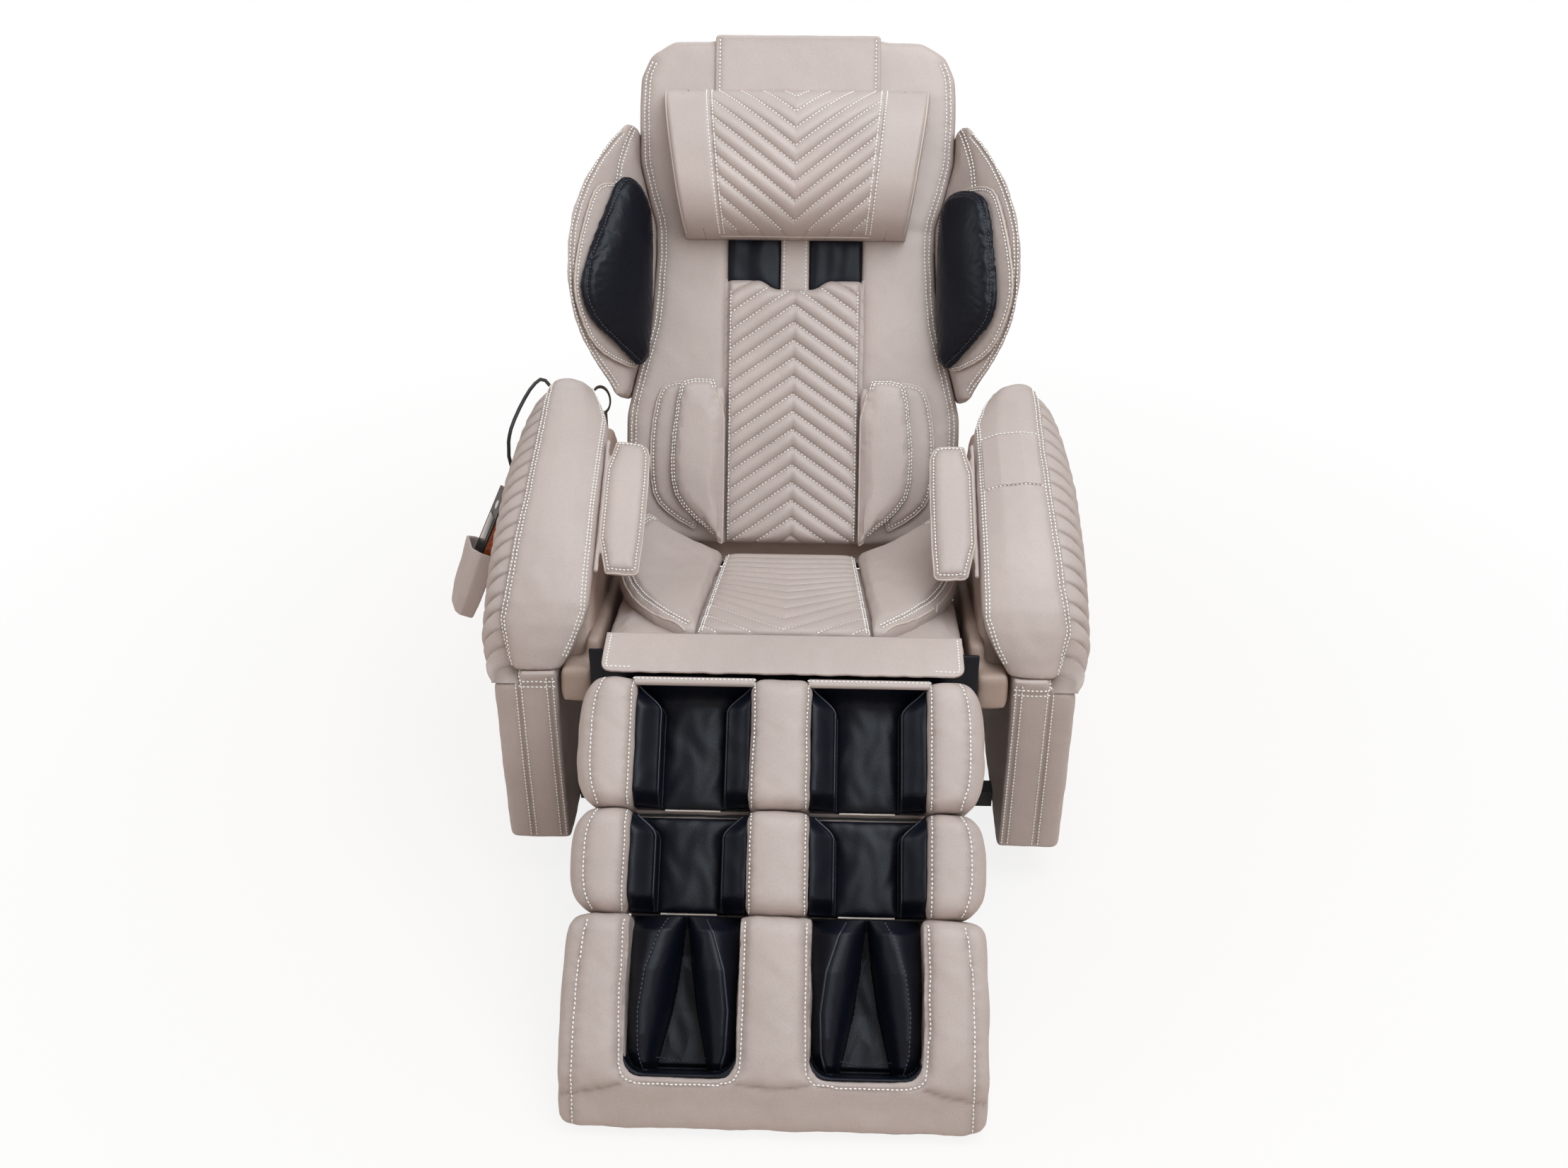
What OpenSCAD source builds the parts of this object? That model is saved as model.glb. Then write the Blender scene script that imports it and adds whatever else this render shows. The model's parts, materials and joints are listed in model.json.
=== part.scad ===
/* [Posture] */
// Lean of the backrest from the vertical, in degrees
back_lean = 30; // [24:1:34]
// Rise of the seat towards its front edge, in degrees
seat_rise = 13; // [9:1:15]
// Fall of the leg rest below the horizontal, in degrees
leg_fall = 41; // [34:1:44]

/* [Backrest] */
// Length of the backrest along its lean
back_len = 860; // [845:1:890]
// Half width of the head end of the backrest
head_half = 268; // [262:1:276]
// Half width of the backrest at its waist
waist_half = 236; // [234:1:246]
// Half width of the backrest at the hips
hip_half = 284; // [280:1:289]
// Half width of the quilted centre panel
centre_half = 112; // [104:1:116]
// Length of the quilted centre panel
centre_len = 442; // [420:1:450]
// Thickness of the upholstery on the backrest
back_pad_t = 62; // [56:1:70]
// Depth of the shell behind the backrest
shell_d = 88; // [86:1:94]
// Height that a quilted channel stands proud
quilt_rise = 9; // [4:1:12]
// Spacing of the quilted channels
quilt_pitch = 30; // [26:1:34]

/* [Pillow] */
// Half width of the pillow at its upper edge
pillow_top_half = 226; // [205:1:232]
// Half width of the pillow at its lower edge
pillow_low_half = 188; // [170:1:200]
// Height of the pillow along the backrest
pillow_h = 244; // [225:1:252]
// Thickness of the pillow at its middle
pillow_t = 104; // [84:1:116]
// Half width of the flap that carries the pillow
strap_half = 139; // [110:1:150]

/* [Seat] */
// Half width of the seat cushion
seat_half = 274; // [262:1:280]
// Depth of the seat from the backrest to its front edge
seat_len = 376; // [366:1:380]
// Thickness of the lower seat cushion
seat_t = 74; // [66:1:80]
// Thickness of the seat cover and its wings
cover_t = 22; // [16:1:26]

/* [Arms] */
// Inner face of the upper arm, from the centre plane
arm_in = 294; // [290:1:304]
// Inner face of the arm housing
arm_core_in = 342; // [338:1:350]
// Outer face of the arm housing
arm_core_out = 400; // [396:1:404]
// Outermost point of the quilted arm side
arm_out = 463; // [450:1:480]
// Height of the arm housing's lower edge above the floor
arm_clear = 60; // [50:1:70]
// Thickness of the top pad of an arm
arm_pad_t = 34; // [28:1:38]
// Number of channels along a quilted arm side
arm_ribs = 19; // [15:1:21]

/* [Leg rest] */
// Half width of the leg rest
leg_half = 292; // [284:1:298]
// Width of a leg channel
well_w = 164; // [154:1:170]
// Width of the middle lobe between the leg channels
lobe_mid = 88; // [84:1:96]
// Length of the upper calf section
calf1_len = 190; // [180:1:196]
// Length of the lower calf section
calf2_len = 150; // [140:1:156]
// Length of the foot section
foot_len = 262; // [250:1:270]
// Depth of the calf channels
well_d = 88; // [84:1:90]

/* [Handset] */
// Width of the handset
remote_w = 60; // [54:1:64]
// Length of the handset
remote_l = 160; // [140:1:170]
// Thickness of the handset
remote_t = 22; // [18:1:24]

/* [Frame] */
// Side of the square steel tube in the frames
tube = 30; // [25:1:32]
// Diameter of the recline and leg-rest pivot pins
pin_d = 16; // [14:1:20]
// Diameter of a transport wheel
wheel_d = 60; // [50:1:64]

/* [Hidden] */
fit_gap = 0.3;
seat_joint = [0, 61, 378];
leg_top = [0, -seat_len - 27, 453];
leg_pivot_t = 30;
leg_pivot_n = -104;
back_pivot_s = -15;
back_pivot_y = 54;
hide = "#b8a196";
hide_dark = "#a08b7e";
black_hide = "#17181d";
steel = "#8f9296";
dark_paint = "#2b2c2f";

// Half width of the backrest at height s along it
function back_half(s) = lookup(s, [[-40, hip_half - 8], [60, hip_half - 2], [187, hip_half], [233, hip_half],
    [262, hip_half - 7], [300, hip_half - 16], [340, waist_half + 21], [385, waist_half + 9],
    [440, waist_half + 4], [500, waist_half], [550, waist_half + 1], [600, head_half - 16],
    [655, head_half - 2], [740, head_half], [798, head_half - 2], [back_len - 25, head_half - 18],
    [back_len, head_half - 58]]);

// ---- Shared solids -------------------------------------------------------

function total(list) = list * [for (x = list) 1];
function mix(a, b, t) = a + (b - a) * t;
function middle(points) = [for (k = [0:2]) total([for (p = points) p[k]]) / len(points)];
function unit2(v) = v / max(1e-6, norm(v));
function turned(loop) = total([for (i = [0:len(loop) - 1])
    let (p = loop[i], q = loop[(i + 1) % len(loop)]) p[0] * q[1] - p[1] * q[0]]) > 0 ? 1 : -1;
// Loop of [x, y] drawn in by d, corner by corner
function inset(loop, d) = let (n = len(loop), s = turned(loop)) [for (i = [0:n - 1])
    let (p = loop[i], a = unit2(p - loop[(i + n - 1) % n]), b = unit2(loop[(i + 1) % n] - p),
        na = s * [-a[1], a[0]], nb = s * [-b[1], b[0]])
    p + d * (na + nb) / max(0.6, 1 + na * nb)];
// Corner cutting of a loop and of an open line
function rounded(loop) = let (n = len(loop)) [for (i = [0:n - 1])
    each [loop[i] * 0.76 + loop[(i + 1) % n] * 0.24, loop[i] * 0.24 + loop[(i + 1) % n] * 0.76]];
function eased_line(line) = concat([line[0]], [for (i = [0:len(line) - 2])
    each [line[i] * 0.75 + line[i + 1] * 0.25, line[i] * 0.25 + line[i + 1] * 0.75]], [line[len(line) - 1]]);
function run(line) = total([for (i = [0:len(line) - 2]) norm(line[i + 1] - line[i])]);
function walk(line, d, i = 0) = let (step = norm(line[i + 1] - line[i]))
    i >= len(line) - 2 || d <= step ? line[i] + (line[i + 1] - line[i]) * (d / step) : walk(line, d - step, i + 1);
function spread(line, count) = [for (i = [0:count]) walk(line, run(line) * i / count)];
// Inward side of an open line that runs clockwise over the top
function normals(line) = let (m = len(line) - 1) [for (i = [0:m])
    let (d = unit2(line[min(m, i + 1)] - line[max(0, i - 1)])) [d[1], -d[0]]];

// Closed faceted solid, turned the right way out whichever way its faces were listed
module solid(points, faces) {
    v = total([for (f = faces) points[f[0]] * cross(points[f[1]], points[f[2]])]);
    polyhedron(points, v > 0 ? [for (f = faces) [f[2], f[1], f[0]]] : faces, convexity = 6);
}

// Solid through a row of rings that all have the same number of points
module skin(rings) {
    n = len(rings[0]);
    m = len(rings);
    walls = [for (i = [0:m - 2], j = [0:n - 1])
        let (a = i * n + j, b = i * n + (j + 1) % n, c = (i + 1) * n + (j + 1) % n, d = (i + 1) * n + j)
        each [[a, b, c], [a, c, d]]];
    first = [for (j = [0:n - 1]) [(j + 1) % n, j, m * n]];
    last = [for (j = [0:n - 1]) [(m - 1) * n + j, (m - 1) * n + (j + 1) % n, m * n + 1]];
    solid(concat([for (r = rings) each r], [middle(rings[0]), middle(rings[m - 1])]), concat(walls, first, last));
}

// Solid between two grids with the same rows and columns
module slab(front, back) {
    nv = len(front);
    nu = len(front[0]);
    h = nv * nu;
    top = (nv - 1) * nu;
    f = [for (i = [0:nv - 2], j = [0:nu - 2]) let (a = i * nu + j) each [[a, a + nu, a + nu + 1], [a, a + nu + 1, a + 1]]];
    b = [for (t = f) [h + t[2], h + t[1], h + t[0]]];
    e0 = [for (j = [0:nu - 2]) each [[j, j + 1, h + j + 1], [j, h + j + 1, h + j]]];
    e1 = [for (j = [0:nu - 2]) let (a = top + j) each [[a + 1, a, h + a], [a + 1, h + a, h + a + 1]]];
    e2 = [for (i = [0:nv - 2]) let (a = i * nu) each [[a + nu, a, h + a], [a + nu, h + a, h + a + nu]]];
    e3 = [for (i = [0:nv - 2]) let (a = i * nu + nu - 1) each [[a, a + nu, h + a + nu], [a, h + a + nu, h + a]]];
    solid(concat([for (r = front) each r], [for (r = back) each r]), concat(f, b, e0, e1, e2, e3));
}

// Upholstered pad: outline in [x, z], flat back at depth back, sewn edge, crowned face towards -y
module cushion(outline, front, back, r = 8, crown = 0, core = 30) {
    levels = concat(crown > 0 ? [[core, front - crown], [core * 0.5, front - crown * 0.82],
        [mix(r, core * 0.5, 0.35), front - crown * 0.45]] : [],
        [[r, front], [r * 0.3, front + r * 0.35], [0, front + r], [0, back]]);
    skin([for (l = levels) [for (p = inset(outline, l[0])) [p[0], l[1], p[1]]]]);
}

// The same pad standing across x: outline in [y, z], face at x1, back at x0
module side_cushion(outline, x0, x1, r = 8, crown = 0, core = 30) {
    s = sign(x1 - x0);
    levels = concat(crown > 0 ? [[core, x1 + s * crown], [core * 0.5, x1 + s * crown * 0.82],
        [mix(r, core * 0.5, 0.35), x1 + s * crown * 0.45]] : [],
        [[r, x1], [r * 0.3, x1 - s * r * 0.35], [0, x1 - s * r], [0, x0]]);
    skin([for (l = levels) [for (p = inset(outline, l[0])) [l[1], p[0], p[1]]]]);
}

// Quilted pad, channels rising from both sides to a ridge at x = 0: half widths low and high
module chevron_pad(length, low, high, thick, pitch, slope, rise, edge = 6) {
    columns = [-1, -0.96, -0.55, -0.18, 0, 0.18, 0.55, 0.96, 1];
    steps = floor((length - 6) / (pitch / 2));
    fan = 3;
    apex = concat([for (k = [1:steps]) k * pitch / 2], [for (j = [1:fan]) length - 5 + 5 * j / fan]);
    tilt = concat([for (k = [1:steps]) slope], [for (j = [1:fan]) slope * (1 - j / fan)]);
    last = len(apex) - 1;
    reach = [for (k = [0:last]) let (a = apex[k], w = mix(low, high, min(1, a / length)))
        tilt[k] < 0.001 ? w : min(w, a / tilt[k])];
    front = [for (k = [0:last]) [for (c = columns) let (x = c * reach[k], z = apex[k] - tilt[k] * abs(x))
        [x, -(k == last || abs(c) == 1 || z < 0.01 ? edge : thick - (k % 2 == 1 ? rise : 0)), z]]];
    back = [for (r = front) [for (p = r) [p[0], 0, p[2]]]];
    slab(front, back);
}

module across_x(x0, x1) {
    translate([x0, 0, 0]) rotate([90, 0, 90]) linear_extrude(x1 - x0) children();
}

module both_sides() {
    children();
    mirror([1, 0, 0]) children();
}

module rod_x(x0, x1, d) {
    translate([x0, 0, 0]) rotate([0, 90, 0]) cylinder(h = x1 - x0, d = d, $fn = 48);
}

// ---- Places --------------------------------------------------------------

// x across, z up along the backrest, y into it
module in_back() {
    translate(seat_joint) rotate([-back_lean, 0, 0]) children();
}

// x across, -y towards the seat's front edge, z out of the seat
module in_seat() {
    translate(seat_joint) rotate([-seat_rise, 0, 0]) children();
}

// x across, -y down the leg rest, z out of it
module in_leg() {
    translate(leg_top) rotate([leg_fall, 0, 0]) children();
}

recline_axis = [0, seat_joint[1] + back_pivot_s * sin(back_lean) + back_pivot_y * cos(back_lean),
    seat_joint[2] + back_pivot_s * cos(back_lean) - back_pivot_y * sin(back_lean)];
leg_axis = [0, leg_top[1] - leg_pivot_t * cos(leg_fall) - leg_pivot_n * sin(leg_fall),
    leg_top[2] - leg_pivot_t * sin(leg_fall) + leg_pivot_n * cos(leg_fall)];
pin_gap = 0.05;
crank_r = 112;
crank_rest = 22.5;
back_crank = [0, recline_axis[1] + crank_r * sin(crank_rest), recline_axis[2] - crank_r * cos(crank_rest)];
leg_r = 96;
leg_crank = [0, leg_axis[1] + leg_r * sin(21), leg_axis[2] - leg_r * cos(21)];

// ---- Base ----------------------------------------------------------------

skid_in = 222;
skid_out = skid_in + tube;
skid_front = leg_axis[1] - tube / 2;
skid_rear = 400;
wheel_at = [skid_rear + 34, wheel_d / 2 + 4];
rail_n = -110;

module post(axis) {
    translate([skid_in, axis[1] - tube / 2, tube - 1]) cube([tube, tube, axis[2] - tube + 1]);
    translate([0, axis[1], axis[2]]) rod_x(skid_in, skid_out, 48);
}

module base_frame() color(dark_paint) {
    both_sides() {
        translate([skid_in, skid_front, 0]) cube([tube, skid_rear - skid_front, tube]);
        difference() {
            union() {
                post(recline_axis);
                post(leg_axis);
                in_seat() translate([skid_in + 1, -402, rail_n - tube]) cube([tube - 2, 476, tube]);
            }
            for (a = [recline_axis, leg_axis])
                translate([0, a[1], a[2]]) rod_x(skid_in - 1, skid_out + 1, pin_d + 2 * pin_gap);
        }
        translate([skid_in + 8, skid_rear - 1, 0]) cube([tube - 16, 22, tube]);
        difference() {
            union() {
                translate([skid_in + 8, skid_rear - 1, 6]) cube([tube - 16, 36, wheel_at[1] + 6]);
                translate([0, wheel_at[0], wheel_at[1]]) rod_x(skid_in + 8, skid_out - 8, 28);
            }
            translate([0, wheel_at[0], wheel_at[1]]) rod_x(skid_in, skid_out, 12 + 2 * pin_gap);
        }
        for (y = [-220, 150]) {
            translate([skid_in, y, tube - 1]) cube([tube, tube, 61]);
            translate([skid_out - 1, y, 60]) cube([arm_core_in - skid_out + 1 - fit_gap, tube, tube]);
        }
    }
    for (y = [skid_front, skid_rear - tube])
        translate([-skid_in - 1, y, 0]) cube([2 * skid_in + 2, tube, tube]);
    translate([-skid_in - 1, -tube / 2, 0]) cube([2 * skid_in + 2, tube, tube]);
    translate([-skid_in - 1, skid_front + tube - 1, tube - 8])
        cube([2 * skid_in + 2, skid_rear - skid_front - 2 * tube + 2, 8]);
}

module transport_wheels() color("#1c1c1e") {
    translate([0, wheel_at[0], wheel_at[1]]) difference() {
        union() {
            rod_x(-skid_out - 8, skid_out + 8, 12);
            both_sides() rod_x(skid_out - 6, skid_out + 14, wheel_d);
            both_sides() rod_x(skid_in - 16, skid_in + 6, wheel_d - 20);
        }
        both_sides() rod_x(skid_out + 9, skid_out + 15, wheel_d - 22);
    }
}

// ---- Seat ----------------------------------------------------------------

seat_bottom = -(seat_t + cover_t);

module seat_pan() color(dark_paint) in_seat() difference() {
    translate([-skid_out, -340, rail_n]) cube([2 * skid_out, 340 - 20, seat_bottom - rail_n]);
    for (x = [-150, 90]) translate([x, -270, rail_n - 1]) cube([60, 120, 20]);
}

module seat_base_cushion() color(hide) in_seat() {
    side = [[-4, seat_bottom], [-338, seat_bottom], [-349, -62], [-368, -50], [-seat_len, -cover_t - 16],
        [-seat_len + 2, -cover_t - 6], [-seat_len + 10, -cover_t], [-12, -cover_t], [-4, -cover_t - 8]];
    stations = [[-seat_half, 9], [-seat_half + 3, 3], [-seat_half + 10, 0],
        [seat_half - 10, 0], [seat_half - 3, 3], [seat_half, 9]];
    skin([for (s = stations) [for (p = inset(side, s[1])) [s[0], p[0], p[1]]]]);
    translate([-262, -seat_len, -40]) cube([524, 3.7, 33]);
}

// Quilted middle of the seat: its channels point to the front edge
module seat_centre_pad() color(hide) in_seat() {
    columns = [-1, -0.95, -0.5, 0, 0.5, 0.95, 1];
    rows = 26;
    front = [for (k = [0:rows]) [for (c = columns)
        let (v = k / rows, d = 8 + v * (seat_len - 12) - 34 * abs(c) * (1 - pow(2 * v - 1, 6)),
            w = centre_half - 2 + 21 * d / seat_len)
        [c * w, -d, -cover_t + (k == 0 || k == rows || abs(c) == 1 ? 8 : cover_t + (k % 2 == 0 ? -5 : 2))]]];
    slab(front, [for (r = front) [for (p = r) [p[0], p[1], -cover_t + fit_gap]]]);
}

// Side pad of the seat, its outer edge drawn up into a bucket towards the backrest
module seat_wing() color(hide) in_seat() {
    rows = [14, 19, 30, 60, 95, 130, 165, 200, 235, 265, 295, 320, 340, 352, 360];
    columns = [0, 0.05, 0.13, 0.3, 0.5, 0.7, 0.85, 0.95, 1];
    shape = [[14, 232, 68], [19, 240, 73], [30, 248, 74], [60, 264, 66], [95, 273, 55], [130, 276, 43], [165, 273, 33],
        [200, 264, 24], [235, 250, 15], [265, 234, 9], [295, 214, 5], [320, 195, 3], [340, 176, 1], [352, 162, 0],
        [360, 150, 0]];
    top = [for (k = [0:len(rows) - 1]) let (d = rows[k], low = centre_half - 0.6 + 21 * d / seat_len,
        wide = shape[k][1] + seat_half - 274) [for (c = columns) let (end = max(c == 0 || c == 1 ? 9 : c < 0.1 || c > 0.9 ? 2.5 : 0,
            k == 0 || k == len(rows) - 1 ? 11 : k == 1 || k == len(rows) - 2 ? 3 : 0))
        [mix(low, wide, c), -d * (seat_len - 4) / 372, 6 + shape[k][2] * pow(c, 1.25) - end]]];
    slab(top, [for (r = top) [for (p = r) [p[0], p[1], -cover_t + fit_gap]]]);
}

module seat_wing_left() mirror([1, 0, 0]) seat_wing();
module seat_wing_right() seat_wing();

flap_hinge = [-seat_len - 4.8, -11.5];

// Leather bridge over the gap ahead of the seat, sewn to the front edge of the cushion
module seat_flap() color(hide) {
    in_seat() translate([0, flap_hinge[0], flap_hinge[1]]) rotate([seat_rise + 1, 0, 0]) {
        flat = rounded([[-262, 2], [-262, -66], [-256, -76], [256, -76], [262, -66], [262, 2]]);
        levels = [[14, 2.5], [5, 1], [0, -2], [0, -5], [2, -8]];
        skin([for (l = levels) [for (p = inset(flat, l[0])) [p[0], p[1], l[1]]]]);
        rod_x(-258, 258, 9);
    }
}

// ---- Arms ----------------------------------------------------------------

// Side view of the arm's crest, from the front seam over the top to the rear
arm_crest = eased_line([[-325, 396], [-300, 470], [-220, 550], [-100, 610], [40, 655], [110, 668],
    [160, 655], [205, 620], [240, 565], [256, 500]]);
arm_steps = 22;
arm_line = spread(arm_crest, arm_steps);
arm_side = normals(arm_line);
function arm_at(i, depth) = arm_line[i] + arm_side[i] * depth;
core_top = arm_pad_t + fit_gap;

module arm_core() color(hide_dark) {
    last = arm_steps;
    d0 = unit2(arm_line[1] - arm_line[0]);
    d1 = unit2(arm_line[last] - arm_line[last - 1]);
    side = concat([arm_line[0] - d0 * fit_gap - arm_side[0] * 3], [for (i = [0:last]) arm_at(i, core_top) - (i == 0 ? d0 * fit_gap : [0, 0])
        + (i == last ? d1 * fit_gap : [0, 0])], [arm_line[last] + d1 * fit_gap,
        [256, 400], [246, 220], [230, arm_clear + 12], [218, arm_clear], [-316, arm_clear], [-332, arm_clear + 14],
        [-333, 220]]);
    x0 = arm_core_in;
    x1 = arm_core_out;
    skin([for (s = [[x0, 0], [x1 - 4, 0], [x1, 4]]) [for (p = inset(side, s[1])) [s[0], p[0], p[1]]]]);
    low = concat([for (p = cheek_low) p - [0, fit_gap]], [[246, 220], [230, arm_clear + 12], [218, arm_clear],
        [-316, arm_clear], [-332, arm_clear + 14], [-333, 220]]);
    skin([for (s = [[x1 - 12, 0], [arm_column_out - 9, 0], [arm_column_out - 3, 3], [arm_column_out, 9]])
        [for (p = inset(low, s[1])) [s[0], p[0], p[1]]]]);
}

arm_column_out = arm_core_out + 40;
function crest_in(t) = lookup(t, [[0, 336], [0.06, 310], [0.12, arm_in], [0.6, arm_in], [0.68, arm_in + 18],
    [0.75, arm_in + 34], [1, arm_in + 36]]);
function crest_out(t) = lookup(t, [[0, 413], [0.1, 432], [0.2, 422], [0.37, 411], [0.5, 407], [0.75, 405], [1, 404]]);
// Section of the padded rest at t along the crest: [x, depth below the crest]
function rest_section(t) = let (xi = crest_in(t), xo = crest_out(t),
    top = lookup(t, [[0, 14], [0.12, 20], [0.3, 36], [1, 38]]), low = lookup(t, [[0, 44], [0.12, 46], [0.3, 84], [1, 84]]))
    [[xi, top], [mix(xi, xo, 0.08), top * 0.55], [mix(xi, xo, 0.3), top * 0.18], [mix(xi, xo, 0.62), 0],
        [mix(xi, xo, 0.84), 3], [mix(xi, xo, 0.96), 10], [xo, 20], [arm_core_out, arm_pad_t - 0.2],
        [arm_core_in - fit_gap, arm_pad_t - 0.2], [arm_core_in - fit_gap, max(low - 4, arm_pad_t + 3)], [xi + 3, low]];

module arm_top_pad() color(hide)
    skin([for (i = [0:arm_steps]) [for (q = rest_section(i / arm_steps)) let (p = arm_at(i, q[1])) [q[0], p[0], p[1]]]]);

cheek_low = eased_line([[-326, 374], [-200, 346], [0, 330], [150, 342], [246, 404]]);
function cheek_reach(t) = arm_out + lookup(t, [[0, -15], [0.1, -3], [0.33, 0], [0.5, -1], [0.6, -8], [0.7, -20],
    [0.8, -31], [0.9, -39], [1, -46]]);

// Fluted outer cheek of the arm
module arm_side_quilt() color(hide) {
    n = 2 * arm_ribs;
    upper = spread(arm_line, n);
    nu = normals(upper);
    lower = spread(cheek_low, n);
    bulge = [[0, 0], [0.05, 0.45], [0.18, 0.84], [0.42, 1], [0.7, 0.8], [0.94, 0.3], [1, 0]];
    front = [for (k = [0:n]) [for (b = bulge) let (u = k / n, p = mix(upper[k] + nu[k] * 26, lower[k], b[0]),
        base = b[0] < 0.42 ? crest_out(u) + 2 : arm_column_out + 1)
        [mix(base, cheek_reach(u), b[1]) - (k % 2 == 0 ? 6 * b[1] : 0), p[0], p[1]]]];
    back = [for (k = [0:n]) [for (b = bulge)
        let (p = mix(upper[k] + nu[k] * (b[0] == 0 ? arm_pad_t + 3.4 : 26), lower[k], b[0]))
        [arm_core_out + fit_gap, p[0], p[1]]]];
    slab(front, back);
}

module arm_inner_pad() color(hide_dark) {
    side = concat([for (i = [7:arm_steps]) arm_at(i, 84 + fit_gap)],
        [[222, 468], [222, 400], [214, 320], [180, 296], [-230, 296], [-262, 312], [-272, 352], [-256, 400]]);
    side_cushion(side, arm_core_in - fit_gap, arm_in + 3, 8);
}

flap_at = [-219, 506];
flap_run = [222, 112];

// Air cushion folding over the forearm, hinged along the inner edge of the rest
module forearm_flap() color(hide) {
    translate([arm_in - fit_gap, flap_at[0], flap_at[1]]) rotate([atan2(flap_run[1], flap_run[0]), 0, 0]) {
        len_y = norm(flap_run);
        flat = rounded([[-4, 4], [-64, 0], [-72, 12], [-74, len_y - 30], [-66, len_y - 6], [-56, len_y], [-4, len_y]]);
        rotate([0, -4, 0]) {
            levels = [[18, 5], [9, 3], [3, -2], [0, -7], [2, -13], [10, -17]];
            skin([for (l = levels) [for (p = inset(flat, l[0])) [p[0], p[1], l[1]]]]);
        }
        translate([-4.3, 2, -1]) rotate([-90, 0, 0]) cylinder(h = len_y - 4, d = 8, $fn = 32);
    }
}

module arm_core_left() mirror([1, 0, 0]) arm_core();
module arm_core_right() arm_core();
module arm_inner_pad_left() mirror([1, 0, 0]) arm_inner_pad();
module arm_inner_pad_right() arm_inner_pad();
module arm_top_pad_left() mirror([1, 0, 0]) arm_top_pad();
module arm_top_pad_right() arm_top_pad();
module forearm_flap_left() mirror([1, 0, 0]) forearm_flap();
module forearm_flap_right() forearm_flap();
module arm_side_quilt_right() arm_side_quilt();
module arm_side_quilt_left() difference() {
    mirror([1, 0, 0]) arm_side_quilt();
    in_pocket() pocket_root(0.1);
}

// ---- Handset, its pocket and the small items on the arms ------------------

pocket_up = unit2([0.4, 0.304, 0.864]);
pocket_flat = unit2([-1, 0, 0] + pocket_up * 0.4);
pocket_face = unit2(pocket_flat * cos(20) + cross(pocket_up, pocket_flat) * sin(20));
pocket_at = [-465, 28, 503] - pocket_up * remote_l;

// z up along the handset, -y out of its face
module in_pocket() {
    y = -pocket_face;
    z = pocket_up;
    x = cross(y, z);
    multmatrix([[x[0], y[0], z[0], pocket_at[0]], [x[1], y[1], z[1], pocket_at[1]], [x[2], y[2], z[2], pocket_at[2]],
        [0, 0, 0, 1]]) children();
}

// The flat patch behind the pocket, let into the flutes of the cheek
module pocket_root(grow) {
    translate([-44 - grow, -60, 44 - grow]) cube([96 + 2 * grow, 60 + remote_t / 2 + 3 + grow, 156 + 2 * grow]);
}

module remote_pocket() color(hide) in_pocket() {
    wall = 2;
    loop = function (w0, w1, d, e) [[-w0, remote_t / 2 + 2.6 - e], [w1, remote_t / 2 + 2.6 - e], [w1 + 1, -d * 0.5],
        [w1 - 10, -d], [-w0 + 10, -d], [-w0 - 1, -d * 0.5]];
    stations = [[-58, 12, 30, 10], [-52, 20, 44, 16], [-20, 33, 52, 22], [20, 35, 50, 25], [60, 37, 44, 30]];
    difference() {
        skin([for (s = stations) [for (p = loop(s[1] + wall, s[2] + wall, s[3] + wall, 0)) [p[0], p[1], s[0]]]]);
        skin([for (s = [[0, 33, 50, 18], [20, 33, 48, 22], [61, 35, 42, 28]])
            [for (p = loop(s[1], s[2], s[3], wall - 0.2)) [p[0], p[1], s[0]]]]);
    }
    translate([-43.5, remote_t / 2 + 0.8, 59]) cube([95, 2, 119]);
}

module remote_body() color("#101114") in_pocket() {
    difference() {
        translate([-remote_w / 2, -remote_t / 2, fit_gap]) cube([remote_w, remote_t, remote_l - fit_gap]);
        for (x = [-remote_w / 2 - 1, remote_w / 2 - 2.2]) translate([x, -remote_t / 2 + 3, 0]) cube([3.2, 11, remote_l + 1]);
        translate([-remote_w / 2 - 1, -remote_t / 2 + 3, remote_l - 2.2]) cube([remote_w + 2, 11, 3.2]);
        translate([0, -remote_t / 2 + 3, remote_l - 26]) rotate([90, 0, 0]) cylinder(h = 4, d = 15.3, $fn = 48);
    }
    translate([-22, -remote_t / 2 - 0.5, remote_l - 96]) cube([44, 0.8, 52]);
    translate([12, 2, remote_l - 3]) cylinder(h = 13, d1 = 13, d2 = 8, $fn = 40);
    for (x = [-16, 0, 16], z = [12, 26, 40])
        translate([x, -remote_t / 2 + 0.2, z]) rotate([90, 0, 0]) cylinder(h = 1, d = 9, $fn = 32);
}

module remote_trim() color("#6d2f1e") in_pocket() {
    for (x = [-remote_w / 2, remote_w / 2 - 2.1])
        translate([x, -remote_t / 2 + 3.1, fit_gap]) cube([2.1, 10.8, remote_l - fit_gap - 2.4]);
    difference() {
        translate([-remote_w / 2, -remote_t / 2 + 3.1, remote_l - 2.1]) cube([remote_w, 10.8, 2.1]);
        translate([12, 2, remote_l - 3]) cylinder(h = 16, d = 13.8, $fn = 40);
    }
}

module remote_key() color("#d9d9d6") in_pocket()
    translate([0, -remote_t / 2 + 1.8, remote_l - 26]) rotate([90, 0, 0]) cylinder(h = 2.6, d = 15, $fn = 48);

function pocket_point(p) = let (y = -pocket_face, z = pocket_up, x = cross(y, z))
    pocket_at + x * p[0] + y * p[1] + z * p[2];

// Tube of diameter d along a line of points
module tube_along(line, d) {
    m = len(line) - 1;
    skin([for (i = [0:m]) let (t = unit2(line[min(m, i + 1)] - line[max(0, i - 1)]),
        a = unit2(cross(t, [0.31, 0.92, -0.24])), b = cross(t, a))
        [for (k = [0:7]) line[i] + d / 2 * (cos(45 * k) * a + sin(45 * k) * b)]]);
}

cable_d = 6;

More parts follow.
